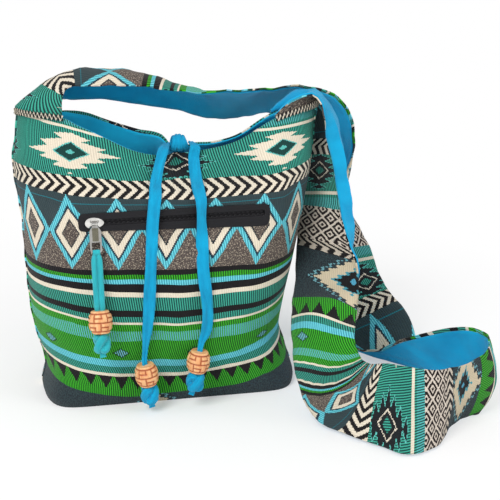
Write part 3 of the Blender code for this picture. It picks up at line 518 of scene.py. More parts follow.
class Thread:
    """One number in a shader; each sum or comparison adds a Math node."""

    def __init__(self, tree, end):
        self.tree, self.end = tree, end

    def op(self, kind, *others):
        values = dict(enumerate((self, *others)))
        return Thread(self.tree, add_node(self.tree, "Math", values, kind).outputs[0])

    def __add__(self, other):
        return self.op("ADD", other)

    def __sub__(self, other):
        return self.op("SUBTRACT", other)

    def __mul__(self, other):
        return self.op("MULTIPLY", other)

    def __truediv__(self, other):
        return self.op("DIVIDE", other)

    def size(self):
        return self.op("ABSOLUTE")

    def above(self, edge):
        return self.op("GREATER_THAN", edge)

    def below(self, edge):
        return self.op("LESS_THAN", edge)

    def between(self, low, high):
        return self.above(low) * self.below(high)

    def turn(self):
        """1 becomes 0 and 0 becomes 1."""
        return (self * -1.0) + 1.0

    def wrap(self, period):
        return self.op("FLOORED_MODULO", period)

    def fold(self, period, centre=0.0):
        """Distance to the nearest centre of a repeat."""
        return ((self - (centre - period / 2)).wrap(period) - period / 2).size()

    def steps(self, size):
        """Rounded down to whole threads, which gives woven edges their steps."""
        return (self / size).op("FLOOR") * size + size / 2


# %% [markdown]
# ## Dyes and clouds
# A dye lays one colour over another where its mask is 1. Clouds are soft random blotches, for the wear and
# the grain that no two threads share. The colours are read off as 0 to 255 for red, green and blue.

# %% Dyes and clouds


def linear(r, g, b):
    """A colour read off as 0 to 255 turned into the light that a shader works with."""
    out = []
    for value in (r, g, b):
        c = value / 255
        out.append(c / 12.92 if c <= 0.04045 else ((c + 0.055) / 1.055) ** 2.4)
    return (*out, 1.0)


def dye(tree, under, over, mask):
    """Colour `over` wherever the mask is 1."""
    mix = tree.nodes.new("ShaderNodeMix")
    mix.data_type = "RGBA"
    for socket, value in ((0, mask), (6, under), (7, over)):
        feed(tree, mix.inputs[socket], value)
    return mix.outputs[2]


def clouds(tree, where, scale, detail, dimensions="3D"):
    """Soft random blotches; a larger scale makes them finer."""
    noise = add_node(tree, "TexNoise", {"Scale": scale, "Detail": detail, "Vector": where})
    noise.noise_dimensions = dimensions
    return Thread(tree, noise.outputs[0])


def in_millimetres(tree, where, *axes):
    """The wanted axes of a place in metres, each as a Thread in millimetres."""
    parts = add_node(tree, "SeparateXYZ", {0: where})
    return [Thread(tree, parts.outputs[axis]) * 1000.0 for axis in axes]


CREAM, INK, TEAL = linear(228, 217, 197), linear(21, 19, 21), linear(60, 166, 144)
CYAN, GREEN, COAL = linear(112, 210, 220), linear(58, 172, 34), linear(48, 64, 68)
BARK, PINE, SPRUCE = linear(92, 82, 77), linear(14, 72, 20), linear(16, 62, 60)

# %% [markdown]
# ## The woven bands
# The loom repeats eight bands: the dark base with its big medallion, green triangles, green and cyan with
# small lozenges, stripes, tall diamonds, chevrons, teal with medallions, and a black and cream lattice.
# Across is u and along is v, both in millimetres of flat cloth. Coloured grounds show dark ribs along v.
# A motif is a shape whose value grows outwards, and its rings are painted from the largest to the core.

# %% Draw the kilim
REPEAT = 412.0
CORE = -1.0


def kilim_group():
    tree = bpy.data.node_groups.new("kilim_bands", "ShaderNodeTree")
    tree.interface.new_socket("Cloth", in_out="INPUT", socket_type="NodeSocketVector")
    tree.interface.new_socket("Colour", in_out="OUTPUT", socket_type="NodeSocketColor")
    cloth = tree.nodes.new("NodeGroupInput").outputs[0]
    fine_u, fine_v = in_millimetres(tree, cloth, 0, 1)
    u, v = fine_u.steps(1.1), fine_v.wrap(REPEAT).steps(0.9)
    slanted = fine_u + fine_v * 0.22
    ribs = slanted.fold(2.5).above(0.58)
    grain = clouds(tree, cloth, 640, 1, "2D")
    teal, cyan, green, pale = (dye(tree, ground, rib, ribs * strength) for ground, rib, strength in (
        (TEAL, SPRUCE, 0.97), (CYAN, linear(52, 146, 168), 0.85), (GREEN, PINE, 0.94),
        (CREAM, linear(206, 190, 164), 0.3)))
    colour = dye(tree, COAL, linear(36, 44, 50), grain.above(0.5))

    def lay(over, mask):
        nonlocal colour
        colour = dye(tree, colour, over, mask)

    def bands(*rows):
        for over, low, high in rows:
            lay(over, v.between(low, high))

    def rings(shape, here, *rows):
        for over, low, high in rows:
            lay(over, shape.between(low, high) * here)

    # dark base with its medallion: cream feathers inside a stepped cyan line, a black diamond within
    du, dv = u.fold(300.0, -31.0), (v - 27.0).size()
    rings(du * 0.62 + dv + dv.fold(5.4) * 1.7, 1.0, (linear(112, 168, 178), 34.0, 35.6),
          (linear(206, 192, 164), 18.0, 30.5), (linear(70, 150, 166), 15.0, 18.0), (INK, CORE, 15.0))
    lay(linear(80, 160, 190), (du * 0.9 + dv).below(4.0))

    # green triangles on black over a green rib
    tooth = (v * -1.0 + 77.0) * 0.62
    wedge = dye(tree, INK, green, u.fold(18.3, -80.0).below(tooth))
    bands((green, 56.0, 62.0), (wedge, 62.0, 76.0), (CREAM, 76.0, 78.5))

    # teal, cyan and green with lozenges
    sprigs = dye(tree, green, linear(96, 176, 190), slanted.fold(2.5, 0.4).above(0.62))
    bands((teal, 78.5, 85.0), (cyan, 85.0, 91.0), (green, 91.0, 127.0), (sprigs, 111.5, 119.5))
    lozenge = u.fold(84.0, -63.0) * 0.55 + (v - 99.0).size()
    lay(PINE, lozenge.between(4.4, 5.6))
    lay(linear(120, 190, 214), lozenge.below(4.4) * ribs.turn())

    # stripes
    bands((CREAM, 127.0, 130.0), (teal, 130.0, 135.5), (INK, 135.5, 142.5), (teal, 142.5, 156.0),
          (CREAM, 156.0, 160.0), (INK, 160.0, 168.5), (cyan, 168.5, 173.0), (green, 173.0, 177.5),
          (INK, 177.5, 184.0))

    # tall diamonds: charcoal above their crossings, mottled below
    mottled = dye(tree, BARK, linear(44, 38, 40), grain.above(0.50))
    mottled = dye(tree, mottled, linear(158, 146, 130), grain.above(0.59))
    bands((mottled, 184.0, 226.0), (COAL, 226.0, 266.0), (linear(34, 110, 122), 258.0, 259.6))
    rings(u.fold(47.5, -15.5) / 23.75 + (v - 225.0).size() / 40.5, v.between(184.0, 266.0), (cyan, 0.80, 1.03),
          (linear(30, 52, 66), 0.70, 0.80), (pale, 0.42, 0.70), (linear(30, 40, 46), 0.36, 0.42),
          (mottled, CORE, 0.36))

    # chevrons that point right
    chevron = (u + (v - 279.0).size() * 0.80).wrap(10.4).below(5.4)
    bands((dye(tree, CREAM, INK, chevron), 266.0, 292.0), (teal, 292.0, 354.0))

    # teal ground with feathered medallions and, between them, a dark one
    here = v.between(292.0, 354.0)
    du, dv = u.fold(206.0, 102.5), (v - 317.0).size()
    rings(du + dv * 2.1 + dv.fold(7.4) * 4.4, here, (pale, CORE, 49.5))
    rings(du * 0.52 + dv, here, (linear(92, 186, 178), CORE, 10.0), (linear(18, 62, 58), CORE, 8.8),
          (linear(92, 186, 178), CORE, 2.6))
    du, dv = u.fold(206.0, -1.0), (v - 311.0).size()
    rings(du + dv * 1.15 + dv.fold(7.4) * 4.2, here, (linear(96, 190, 180), CORE, 39.0),
          (linear(24, 28, 32), CORE, 36.5))
    dashes = (u + v).fold(3.2).above(0.5)
    rings(du * 0.72 + dv, here * dashes, (CREAM, 10.0, 12.0))
    rings(du * 0.72 + dv, here, (teal, CORE, 5.6))
    sea = dye(tree, linear(84, 184, 180), SPRUCE, ribs * 0.9)
    bands((CREAM, 338.5, 342.0), (teal, 342.0, 345.0), (sea, 345.0, 354.0))

    # black and cream lattice under small chevrons
    cell = u.fold(20.0, 0.0) / 10.0 + v.fold(19.0, 4.0) / 9.5
    cell = cell.op("MINIMUM", cell * -1.0 + 2.0)
    lines = (cell.above(0.84) + cell.between(0.22, 0.46)).op("MINIMUM", 1.0)
    lattice = dye(tree, linear(30, 20, 20), linear(214, 202, 188), lines)
    small = dye(tree, INK, linear(206, 194, 178), (u - (v - 403.5).size()).wrap(10.4).below(5.0))
    bands((lattice, 354.0, 396.0), (small, 396.0, 411.0), (INK, 411.0, 413.0))

    feed(tree, tree.nodes.new("NodeGroupOutput").inputs[0], colour)
    return tree


KILIM = kilim_group()
print("kilim nodes:", len(KILIM.nodes))

# %% [markdown]
# ## How woven cloth feels to light
# Cotton has no gloss: a rough surface with a little sheen from its loose fibres. Raised ribs every two
# millimetres and the crossing threads are too fine to model, so they are a bump, which bends the light, and
# painted shade makes the colour darker between them and lighter on their tops.

# %% Cloth finishes


def cloth_maths(shade):
    """The tree of a cloth's material, its flat place, and u and v in millimetres."""
    tree = shade.node_tree
    flat = tree.nodes.new("ShaderNodeUVMap")
    flat.uv_map = "woven"
    return tree, flat.outputs[0], *in_millimetres(tree, flat.outputs[0], 0, 1)


def raise_threads(tree, height, depth):
    bump = add_node(tree, "Bump", {"Strength": 0.8, "Distance": depth, "Height": height})
    feed_shader(tree, "Normal", bump.outputs[0])


def kilim_cotton():
    """The bands with worn patches, painted shade between the ribs and the picks, and painted light on their tops."""
    shade = new_finish("kilim_cotton", 0.92, 0.08)
    tree, flat, u, v = cloth_maths(shade)
    woven = tree.nodes.new("ShaderNodeGroup")
    woven.node_tree = KILIM
    feed(tree, woven.inputs[0], flat)
    rib = (u + v * 0.22).fold(2.5) / 1.25
    pick = (v + rib * 0.5).fold(1.3) / 0.65
    fade = clouds(tree, flat, 26, 5)
    # the clouds are real wear; the rib and pick factors are painted shade in the hollows and painted light on the tops
    dim = (fade * 0.30 + 0.86) * (rib * -0.16 + 1.08) * (pick * -0.08 + 1.03)
    tone = add_node(tree, "HueSaturation", {"Value": dim, "Color": woven.outputs[0]})
    feed_shader(tree, "Base Color", tone.outputs[0])
    raise_threads(tree, rib * -1.0 + pick * -0.45, 0.0006)
    return shade


def plain_cotton(name, colour, dark, sheen=0.15, crease=(1.0, 5.0)):
    """Fine plain weave with creases, and painted shade in the crease valleys and between the threads. crease is how
    many times narrower than long they are, and their depth.
    """
    shade = new_finish(name, 0.85, sheen)
    tree, flat, u, v = cloth_maths(shade)
    warp, weft = u.fold(0.55) / 0.275, v.fold(0.55) / 0.275
    drawn = add_node(tree, "Mapping", {"Scale": (crease[0], 1, 1), 0: flat})
    uneven, fold = clouds(tree, flat, 40, 4), clouds(tree, drawn.outputs[0], 34, 4)
    # uneven is random tone; the fold and warp-weft terms are painted shade, darker in the crease valleys and between
    # the threads
    mask = (uneven * 0.7 + fold * -0.9 + warp * weft * 0.3 + 0.22).op("MAXIMUM", 0.0).op("MINIMUM", 1.0)
    feed_shader(tree, "Base Color", dye(tree, colour, dark, mask))
    raise_threads(tree, warp * -0.4 + weft * -0.4 + uneven * 0.8 + fold * crease[1], 0.0004)
    return shade


def black_nylon():
    shade = new_finish("black_nylon", 0.7, 0.1)
    tree = shade.node_tree
    place = tree.nodes.new("ShaderNodeTexCoord")
    x, z = in_millimetres(tree, place.outputs["Object"], 0, 2)
    # painted light: the raised threads of the weave are lighter in colour and the hollows between them darker
    weave = x.fold(0.8) + z.fold(0.8)
    feed_shader(tree, "Base Color", dye(tree, linear(14, 13, 16), linear(34, 33, 38), weave))
    raise_threads(tree, weave, 0.0002)
    return shade


kilim = kilim_cotton()
turquoise = plain_cotton("turquoise_cotton", linear(6, 172, 222), linear(0, 112, 170))
# the two turquoise materials are one lining cloth: the brighter second copy, for the bag's lining, is painted light on
# the lit mouth
lit_lining_cotton = plain_cotton("lit_lining_cotton", linear(16, 196, 240), linear(0, 142, 200))
ribbon_cotton = plain_cotton("ribbon_cotton", linear(4, 170, 218), linear(0, 96, 144), 0.08, (8.0, 8.0))
cord_cotton = plain_cotton("cord_cotton", linear(46, 186, 196), linear(14, 122, 140), 0.2, (8.0, 3.0))
undyed = plain_cotton("undyed_thread", linear(236, 226, 206), linear(206, 194, 170))
nylon = black_nylon()
print("cloth finishes:", [shade.name for shade in (kilim, turquoise, lit_lining_cotton, ribbon_cotton, cord_cotton)])

# %% [markdown]
# ## Tubes for cords and ribbons
# A cord is a tube swept along the line it hangs on. A ribbon is the same tube pressed flat, with a groove
# where it is folded. Each ring of the tube has a width, a thickness and a facing direction.

# %% Sweep a tube


def marks_along(points):
    """How far each point is from the first one along the line."""
    marks = [0.0]
    for a, b in zip(points, points[1:]):
        marks.append(marks[-1] + (b - a).length)
    return marks


def sweep(name, points, widths, depths, faces, groove=0.0, sides=16, closed=False):
    """Tube along points; `faces` are the directions its broad side looks in. One number or face serves all."""
    count = len(points)
    travelled = marks_along(points) + [0.0]
    travelled[count] = travelled[count - 1]
    widths, depths, faces = (each if isinstance(each, list) else [each] * count
                             for each in (widths, depths, faces))
    rows = []
    for k, p in enumerate(points):
        ahead = points[(k + 1) % count] if closed else points[min(k + 1, count - 1)]
        behind = points[k - 1] if closed else points[max(k - 1, 0)]
        along = (ahead - behind).normalized()
        side = along.cross(faces[k]).normalized()
        out = side.cross(along).normalized()
        row = []
        for s in range(sides):
            turn = 2 * math.pi * s / sides
            c, d = math.cos(turn), math.sin(turn)
            squared = abs(d) ** 0.6 * (1 if d > 0 else -1)
            dent = 1 - groove * math.exp(-(c / 0.22) ** 2)
            row.append(p + side * (c * widths[k] / 2) + out * (squared * dent * depths[k] / 2))
        rows.append(row)
    bm = bmesh.new()
    woven = bm.loops.layers.uv.new("woven")
    grid = [[bm.verts.new(p) for p in row] for row in rows]
    for i in range(count if closed else count - 1):
        n = (i + 1) % count
        for j in range(sides):
            m = (j + 1) % sides
            face = bm.faces.new((grid[i][m], grid[i][j], grid[n][j], grid[n][m]))
            for loop, (a, b) in zip(face.loops, ((i, j + 1), (i, j), (i + 1, j), (i + 1, j + 1))):
                loop[woven].uv = (b / sides * (widths[i] * 2 + depths[i]), travelled[a])
    if not closed:
        for row in (grid[0], grid[-1][::-1]):
            for loop in bm.faces.new(row).loops:
                loop[woven].uv = (loop.vert.co.x, loop.vert.co.z)
    bmesh.ops.recalc_face_normals(bm, faces=bm.faces)
    return finish_mesh(name, bm, 60)


def along_curve(spots, steps):
    """Evenly spaced points, and their shares, on a smooth curve through (point, share) spots."""
    marks = marks_along([point for point, _ in spots])
    tables = [[(m, s[0][axis]) for m, s in zip(marks, spots)] for axis in range(3)]
    tables.append([(m, s[1]) for m, s in zip(marks, spots)])
    made = [[through(table, marks[-1] * k / steps) for table in tables] for k in range(steps + 1)]
    return [Vector(values[:3]) for values in made], [values[3] for values in made]


# %% [markdown]
# ## Turned and carved beads
# A bead is a little barrel with belts, uprights and hooks cut into it. The cuts are kept as an attribute too,
# so that the wood can be darker in them.

# %% Carve a bead
BEAD_RADIUS, BEAD_LENGTH, BEAD_BORE, KNOT_RADIUS = 0.0128, 0.0240, 0.0042, 0.0105
FIELDS, BELT_AT, HOOK_AT, CUT_WIDTH, CUT_DEPTH = 5, 0.0094, 0.0048, 0.0008, 0.0011
BARREL, SHOULDER = 0.90, 0.70


def carved_wood():
    shade = new_finish("carved_wood", 0.36)
    tree = shade.node_tree
    place, cut = (tree.nodes.new("ShaderNode" + kind) for kind in ("TexCoord", "Attribute"))
    cut.attribute_name = "carving"
    stretch = add_node(tree, "Mapping", {"Scale": (1, 1, 0.22), 0: place.outputs["Object"]})
    streak = clouds(tree, stretch.outputs[0], 240, 6)
    wood = dye(tree, linear(246, 200, 146), linear(222, 144, 92), streak * 2.4 - 0.7)
    feed_shader(tree, "Base Color", dye(tree, wood, linear(158, 66, 34), cut.outputs["Fac"]))
    raise_threads(tree, streak, 0.0004)
    return shade


wood = carved_wood()


def carving_depth(around, z):
    """0 on the wood, 1 at the bottom of a cut: belts, staggered uprights and a hooked cut in each field."""
    high = abs(z)
    field = (around / (2 * math.pi) * FIELDS + (0.5 if z > 0 else 0.0)) % 1.0
    wide = 2 * math.pi * BEAD_RADIUS / FIELDS
    cuts = [high, abs(high - BELT_AT)]
    if high < BELT_AT:
        cuts.append(min(field, 1 - field) * wide)
    if field < 0.62:
        cuts.append(abs(high - HOOK_AT))
    if HOOK_AT < high < BELT_AT:
        cuts.append(abs(field - 0.55) * wide)
    return max(math.exp(-(cut / CUT_WIDTH) ** 2) for cut in cuts)


def carve_bead(name, centre, axis, turned=0.0):
    """Barrel turned from a sphere, then cut: `turned` is how far round it hangs."""
    let_go()
    bpy.ops.mesh.primitive_uv_sphere_add(segments=120, ring_count=66, radius=1.0)
    bead = bpy.context.object
    bead.name = name
    mesh, half = bead.data, BEAD_LENGTH / 2
    tone = mesh.attributes.new("carving", "FLOAT", "POINT")
    for index, v in enumerate(mesh.vertices):
        around = math.atan2(v.co.y, v.co.x)
        share = 1 - 2 * math.acos(max(-1.0, min(1.0, v.co.z))) / math.pi
        if abs(share) > BARREL:
            radius = blend(BEAD_BORE * 0.96, BEAD_RADIUS * SHOULDER, (1 - abs(share)) / (1 - BARREL))
            z, depth = math.copysign(half, share), 0.0
        else:
            z = half * math.sin(share / BARREL * math.pi / 2)
            depth = carving_depth((around + turned) % (2 * math.pi), z)
            radius = BEAD_RADIUS * (1 - (1 - SHOULDER) * abs(z / half) ** 2.6) - CUT_DEPTH * depth
        tone.data[index].value = depth
        v.co = Vector((radius * math.cos(around), radius * math.sin(around), z))
    tilt = Vector((0, 0, 1)).rotation_difference(axis).to_matrix().to_4x4()
    mesh.transform(Matrix.Translation(centre) @ tilt)
    take_up(bead)
    bpy.ops.object.shade_smooth_by_angle(angle=math.radians(50))
    return bead


# %% [markdown]
# ## Wound knots
# A knot is one strand wound round itself: its centreline is a trefoil, which goes over and under itself three
# times, as an overhand knot does. The strand's cut end sticks out below.

# %% Wind a knot


def wind_knot(name, centre, axis, width, height, strand=0.33, turned=0.0):
    """Overhand knot: a trefoil tube squeezed into a ball of the given width and height."""
    tube = width / 2 * strand
    points = []
    for k in range(96):
        t = 2 * math.pi * k / 96
        ring = 1 + 0.42 * math.cos(3 * t)
        points.append(Vector((ring * math.cos(2 * t + turned), ring * math.sin(2 * t + turned),
                              0.80 * math.sin(3 * t))))
    wide = (width / 2 - tube) / max(math.hypot(p.x, p.y) for p in points)
    tall = (height / 2 - tube) / max(abs(p.z) for p in points)
    turn = Vector((0, 0, 1)).rotation_difference(axis).to_matrix()
    outs = [turn @ Vector((p.x * wide, p.y * wide, p.z * tall)) for p in points]
    return sweep(name, [centre + out for out in outs], tube * 2.15, tube * 2.0,
                 [out.normalized() for out in outs], 0.10, 14, closed=True)


def leave_tail(knot, centre, axis, reach, slant):
    """The cut end of the strand sticks out under its knot."""
    foot = centre - axis * reach
    points = [foot.lerp(foot - axis * 0.0075 + Vector((slant, 0, 0)), k / 6) for k in range(7)]
    tail = sweep("tail", points, [0.0050 + 0.0004 * k for k in range(7)], 0.0026, Vector((0.2, -1, 0)), 0.6, 12)
    take_up(knot, tail)
    bpy.ops.object.join()


# %% [markdown] ## The two tie ribbons Each ribbon leaves the knot in the mouth, bends over the rim and
# hangs down the front. It carries a bead, held by the knot in its end.

# %% Hang the ribbons
RIBBON_WIDTH, RIBBON_THICKNESS, RIBBON_NECK, RIBBON_CLEAR = 0.015, 0.0022, 0.0062, 0.0042
RIBBON_PINCH = 0.9
TIE_X, TIE_Y, TIE_Z, TIE_HALF = 0.0165, -0.003, 0.27845, 0.00946
LEFT_LINE = [(-11, 264, 0.9), (-16, 250, 1.0), (-18, 241, 1.0), (-20, 232, 1.0), (-22.5, 210, 1.0),
             (-24, 190, 0.95), (-27, 165, 1.0), (-29, 140, 1.0), (-31, 115, 0.95), (-33, 95, 0.8),
             (-35, 78, 0.55), (-36, 66, 0.45)]
RIGHT_LINE = [(30, 267, 0.9), (29, 250, 1.0), (29, 241, 1.0), (30, 232, 0.95), (30, 210, 0.85), (30, 190, 1.0),
              (29, 160, 1.0), (32, 130, 1.0), (33, 105, 1.0), (31, 88, 0.85), (27, 78, 0.6)]


def rest_bead(x, z):
    """Place for a bead that hangs just clear of the belly."""
    nearest = min(front_y(x, z + step * BEAD_LENGTH / 2) for step in (-1, -0.5, 0, 0.5, 1))
    return Vector((x, nearest - BEAD_RADIUS - 0.0012, z))


def hang_ribbon(word, side, over, line, bead_at, lean):
    """The rows of a line are x and z in millimetres and a share of the full width."""
    centre, axis = rest_bead(*bead_at), Vector(lean).normalized()
    beside = side * (TIE_HALF + RIBBON_NECK / 2 + 2 * GAP)
    neck = RIBBON_NECK / RIBBON_WIDTH
    spots = [(Vector((TIE_X + beside, TIE_Y, TIE_Z)), neck), (Vector(over) * 0.001, 0.75)]
    for x, z, share in line:
        x, z, share = x * 0.001, z * 0.001, share * RIBBON_PINCH
        half = share * RIBBON_WIDTH / 2
        y = min(front_y(x + shift, z) for shift in (-half, 0.0, half)) - RIBBON_CLEAR
        spots.append((Vector((x, y, z)), share))
    for shift in (BEAD_LENGTH / 2 + 0.004, 0.0, -BEAD_LENGTH / 2):
        spots.append((centre + axis * shift, neck))
    points, shares = along_curve(spots, 90)
    depths = [blend(0.0034, RIBBON_THICKNESS, smoothstep((share - 0.42) / 0.4)) for share in shares]
    faces = [Vector((0.42 * math.sin(0.19 * k + 1.5 * side), -1.0, 0.35 if k > 9 else 1.2))
             for k in range(len(points))]
    ribbon = sweep("ribbon_" + word, points, [RIBBON_WIDTH * share for share in shares], depths, faces, 0.7, 24)
    bead = carve_bead("bead_" + word, centre, axis, 0.5 if side < 0 else 0.9)
    foot = centre - axis * (BEAD_LENGTH / 2 + GAP + KNOT_RADIUS * 1.1)
    end = wind_knot("ribbon_end_" + word, foot, axis, KNOT_RADIUS * 2.0, KNOT_RADIUS * 2.2, 0.40, side * 0.7)
    leave_tail(end, foot, axis, KNOT_RADIUS * 0.8, -0.0010 - 0.0015 * side)
    dress(ribbon, ribbon_cotton, "bag", "ribbon_cotton", "tie_ribbon_" + word)
    dress(bead, wood, "bag", "carved_wood", "tie_bead_" + word)
    dress(end, ribbon_cotton, "bag", "ribbon_cotton", "tie_end_" + word)
    long = marks_along(points)[-1]
    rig.cord(ribbon, exit=points[0], length=round(long, 3), diameter=RIBBON_WIDTH, far_end="knot",
            stiffness="limp", lay="hanging", path=points, with_pieces=[bead, end])
    print(ribbon.name, "is", round(long, 3), "m long")


hang_ribbon("left", -1, (-4, -29, 279), LEFT_LINE, (-0.0355, 0.045), (-0.12, 0.02, 1.0))
hang_ribbon("right", 1, (32, -20, 278), RIGHT_LINE, (0.0210, 0.057), (0.16, 0.02, 1.0))

# %% [markdown]
# ## The tie in the mouth
# The knot shows as three turns of ribbon side by side round the gathered rims. A small ball fills them.

# %% Wrap the tie
TIE_TURNS = [(-0.0056, 0.0016, 0.90), (0.0, -0.0008, 1.0), (0.0056, -0.0026, 0.88)]


def wrap_tie():
    """Each turn has a shift to the right, a slant and a size."""
    centre = Vector((TIE_X, TIE_Y, TIE_Z))
    let_go()
    bpy.ops.mesh.primitive_uv_sphere_add(segments=24, ring_count=16, radius=0.0068, location=centre)
    bpy.ops.object.transform_apply(location=True, rotation=True, scale=True)
    core = bpy.context.object
    core.name = "mouth_tie"
    core.data.uv_layers[0].name = "woven"
    turns = []
    for k, (shift, slant, size) in enumerate(TIE_TURNS):
        round_it = [2 * math.pi * s / 40 for s in range(40)]
        points = [centre + Vector((shift + slant * math.sin(a), 0.0078 * size * math.cos(a),
                                   0.0084 * size * math.sin(a))) for a in round_it]
        outs = [Vector((0.25 * (k - 1), math.cos(a), math.sin(a))) for a in round_it]
        turns.append(sweep("tie_turn", points, 0.0070, 0.0036, outs, 0.45, 16, closed=True))
    take_up(core, *turns)
    bpy.ops.object.join()
    return core


dress(wrap_tie(), ribbon_cotton, "bag", "ribbon_cotton", "tie_knot")

# %% [markdown]
# ## The zip's pull cord
# A soft cord is doubled through the metal tab, so it shows as two strands side by side with a groove
# between them. It hangs from the tab's bar, tilted out over the belly, through a bead to its knot.

# %% Hang the pull cord
PULL_TILT = math.radians(15)
TAB_PIN = Vector((-0.0835, -0.0702, 0.214))
BAR_DROP, BEAD_DROP, EYE_RADIUS, PAIR_WIDTH = 0.0296, 0.104, 0.0031, 0.0128
DOWN = Vector((0, -math.sin(PULL_TILT), -math.cos(PULL_TILT)))
OUT = Vector((0, -math.cos(PULL_TILT), math.sin(PULL_TILT)))


def hang_pull():
    bar, ring = TAB_PIN + DOWN * BAR_DROP, []
    for degrees in range(40, -201, -20):
        a = math.radians(degrees)
        ring.append((bar + OUT * (EYE_RADIUS * math.cos(a)) - DOWN * (EYE_RADIUS * math.sin(a)), 1.0))
    top = BEAD_DROP - BAR_DROP - BEAD_LENGTH / 2
    foot = top + BEAD_LENGTH
    line = [(0.002, 0.60), (0.005, 0.78), (0.009, 0.92), (0.020, 0.94), (0.035, 0.93), (0.050, 0.93),
            (0.058, 0.9), (top, 0.82), (top + 0.003, 0.56), (foot - 0.006, 0.50), (foot, 0.50)]
    points, shares = along_curve([(bar + DOWN * drop, share) for drop, share in line], 60)
    depths = [blend(0.0042, 0.0066, smoothstep((share - 0.6) / 0.25)) for share in shares]
    cord = sweep("pull_cord_pair", points, [PAIR_WIDTH * share for share in shares], depths, OUT, 0.85, 32)
    turn, _ = along_curve(ring, 20)
    loop = sweep("pull_cord_eye", turn, 0.0080, 0.0017, [(p - bar).normalized() for p in turn])
    bead = carve_bead("bead_pull", TAB_PIN + DOWN * BEAD_DROP, -DOWN, 0.35)
    low = TAB_PIN + DOWN * (BEAD_DROP + BEAD_LENGTH / 2 + GAP + KNOT_RADIUS * 1.05)
    end = wind_knot("pull_cord_end", low, -DOWN, KNOT_RADIUS * 1.85, KNOT_RADIUS * 2.0, 0.38)
    leave_tail(end, low, -DOWN, KNOT_RADIUS * 0.7, 0.0008)
    dress(cord, cord_cotton, "pendant", "teal_cord", "pull_cord")
    dress(loop, cord_cotton, "pendant", "teal_cord")
    dress(bead, wood, "pendant", "carved_wood", "pull_bead")
    dress(end, cord_cotton, "pendant", "teal_cord", "pull_knot")
    long = marks_along(points)[-1]
    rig.cord(cord, exit=points[0], length=round(long, 3), diameter=0.0135, far_end="knot", stiffness="limp",
            lay="hanging", path=points, with_pieces=[bead, end, loop])
    print("pull cord is", round(long, 3), "m long")


hang_pull()

# %% [markdown]
# ## The bag's outer cloth
# One loft makes the whole skin: rows go up, each row runs along the front from the left seam to the right
# and home along the back. Rows and columns are set on the zip's slot, where squares are left out. Folds and
# puckers are small moves along the surface: gathers under the tie, soft bellies, drags at the base corners.

# %% Rows and columns of the skin


def column_shares():
    shoulder = [CORNER + (1 - CORNER) * math.sin(math.pi / 2 * k / 12) for k in range(13)]
    middle = [blend(-CORNER, TIE_AT, k / 34) for k in range(1, 35)]
    middle += [blend(TIE_AT, CORNER, k / 30) for k in range(1, 30)]
    shares = [-s for s in reversed(shoulder)] + middle + shoulder
    for edge in (ZIP_MID - ZIP_HALF, ZIP_MID + ZIP_HALF):
        wanted = share_at(edge, ZIP_Z)
        nearest = min(range(len(shares)), key=lambda k: abs(shares[k] - wanted))
        shares[nearest] = wanted
    return shares


SHARES = column_shares()
LEVELS = [0.0, 0.001, 0.0025, 0.0045, 0.007] + [0.010 + 0.0045 * k for k in range(43)]
LEVELS = [z for z in LEVELS if abs(z - (ZIP_Z - SLOT_HALF)) > 0.0028 and abs(z - (ZIP_Z + SLOT_HALF)) > 0.0028
          and z < 0.2015]
LEVELS += [ZIP_Z - SLOT_HALF, 0.2095, 0.214, 0.2185, ZIP_Z + SLOT_HALF, 0.2270, 0.2315, 0.236, 0.2405, 0.245,
           0.250, 0.2545]
RIM_ROWS = 12


def ripple(share, z, front):
    """How far cloth stands off its smooth shape: gathers, slack and drag lines."""
    if not front:
        slack = 0.0016 * math.sin(9 * share + 20 * z) * math.sin(26 * z + 1.0)
        return slack * smoothstep(z / 0.05) * smoothstep((0.30 - z) / 0.05)
    x = across(share, z)
    near_tie = math.exp(-((share - TIE_AT) / 0.26) ** 2) * smoothstep((z - 0.236) / 0.02)
    spread = (x - TIE_X) / max(0.03, 0.30 - z + 0.012)
    gather = 0.0013 * near_tie * math.sin(11 * spread)
    off_zip = 1 - math.exp(-((z - ZIP_Z) / 0.020) ** 2)
    slack = 0.0014 * math.sin(7.5 * share - 16 * z + 0.6) * math.sin(30 * z + 2.0 * share)
    slack += 0.0007 * math.sin(19 * share + 40 * z) * math.sin(58 * z - 6 * share)
    drag = 0.0013 * math.sin(34 * (abs(share) * 0.16 + z * 1.1)) * smoothstep((abs(share) - 0.55) / 0.3)
    low = smoothstep(z / 0.03) * smoothstep((0.31 - z) / 0.06)
    return (slack * off_zip + gather + drag * off_zip * smoothstep((0.12 - z) / 0.08)) * low


def skin_rows(rippled=True):
    rows = []
    for i in range(len(LEVELS) + RIM_ROWS):
        row = []
        for share, front in [(s, True) for s in SHARES] + [(s, False) for s in reversed(SHARES[1:-1])]:
            z = LEVELS[min(i, len(LEVELS) - 1)]
            if i >= len(LEVELS):
                z = blend(LEVELS[-1], rim_height(share, front), (i - len(LEVELS) + 1) / RIM_ROWS)
            depth = skin_depth(share, z, front)
            if rippled:
                depth += min(ripple(share, z, front), 0.0022) * (1 - abs(share) ** 8)
            row.append(Vector((across(share, z), -depth if front else depth, z)))
        rows.append(row)
    return rows


# %% [markdown]
# ## Where each band falls on the bag
# The weave runs straight in the flat cloth, but the filled bag sags, so every band dips in the middle. The
# height of each band's edge is sighted in eight places across the front, in millimetres, and the cloth's
# own v is found between them. u is simply the distance along the cloth from the middle of the front.

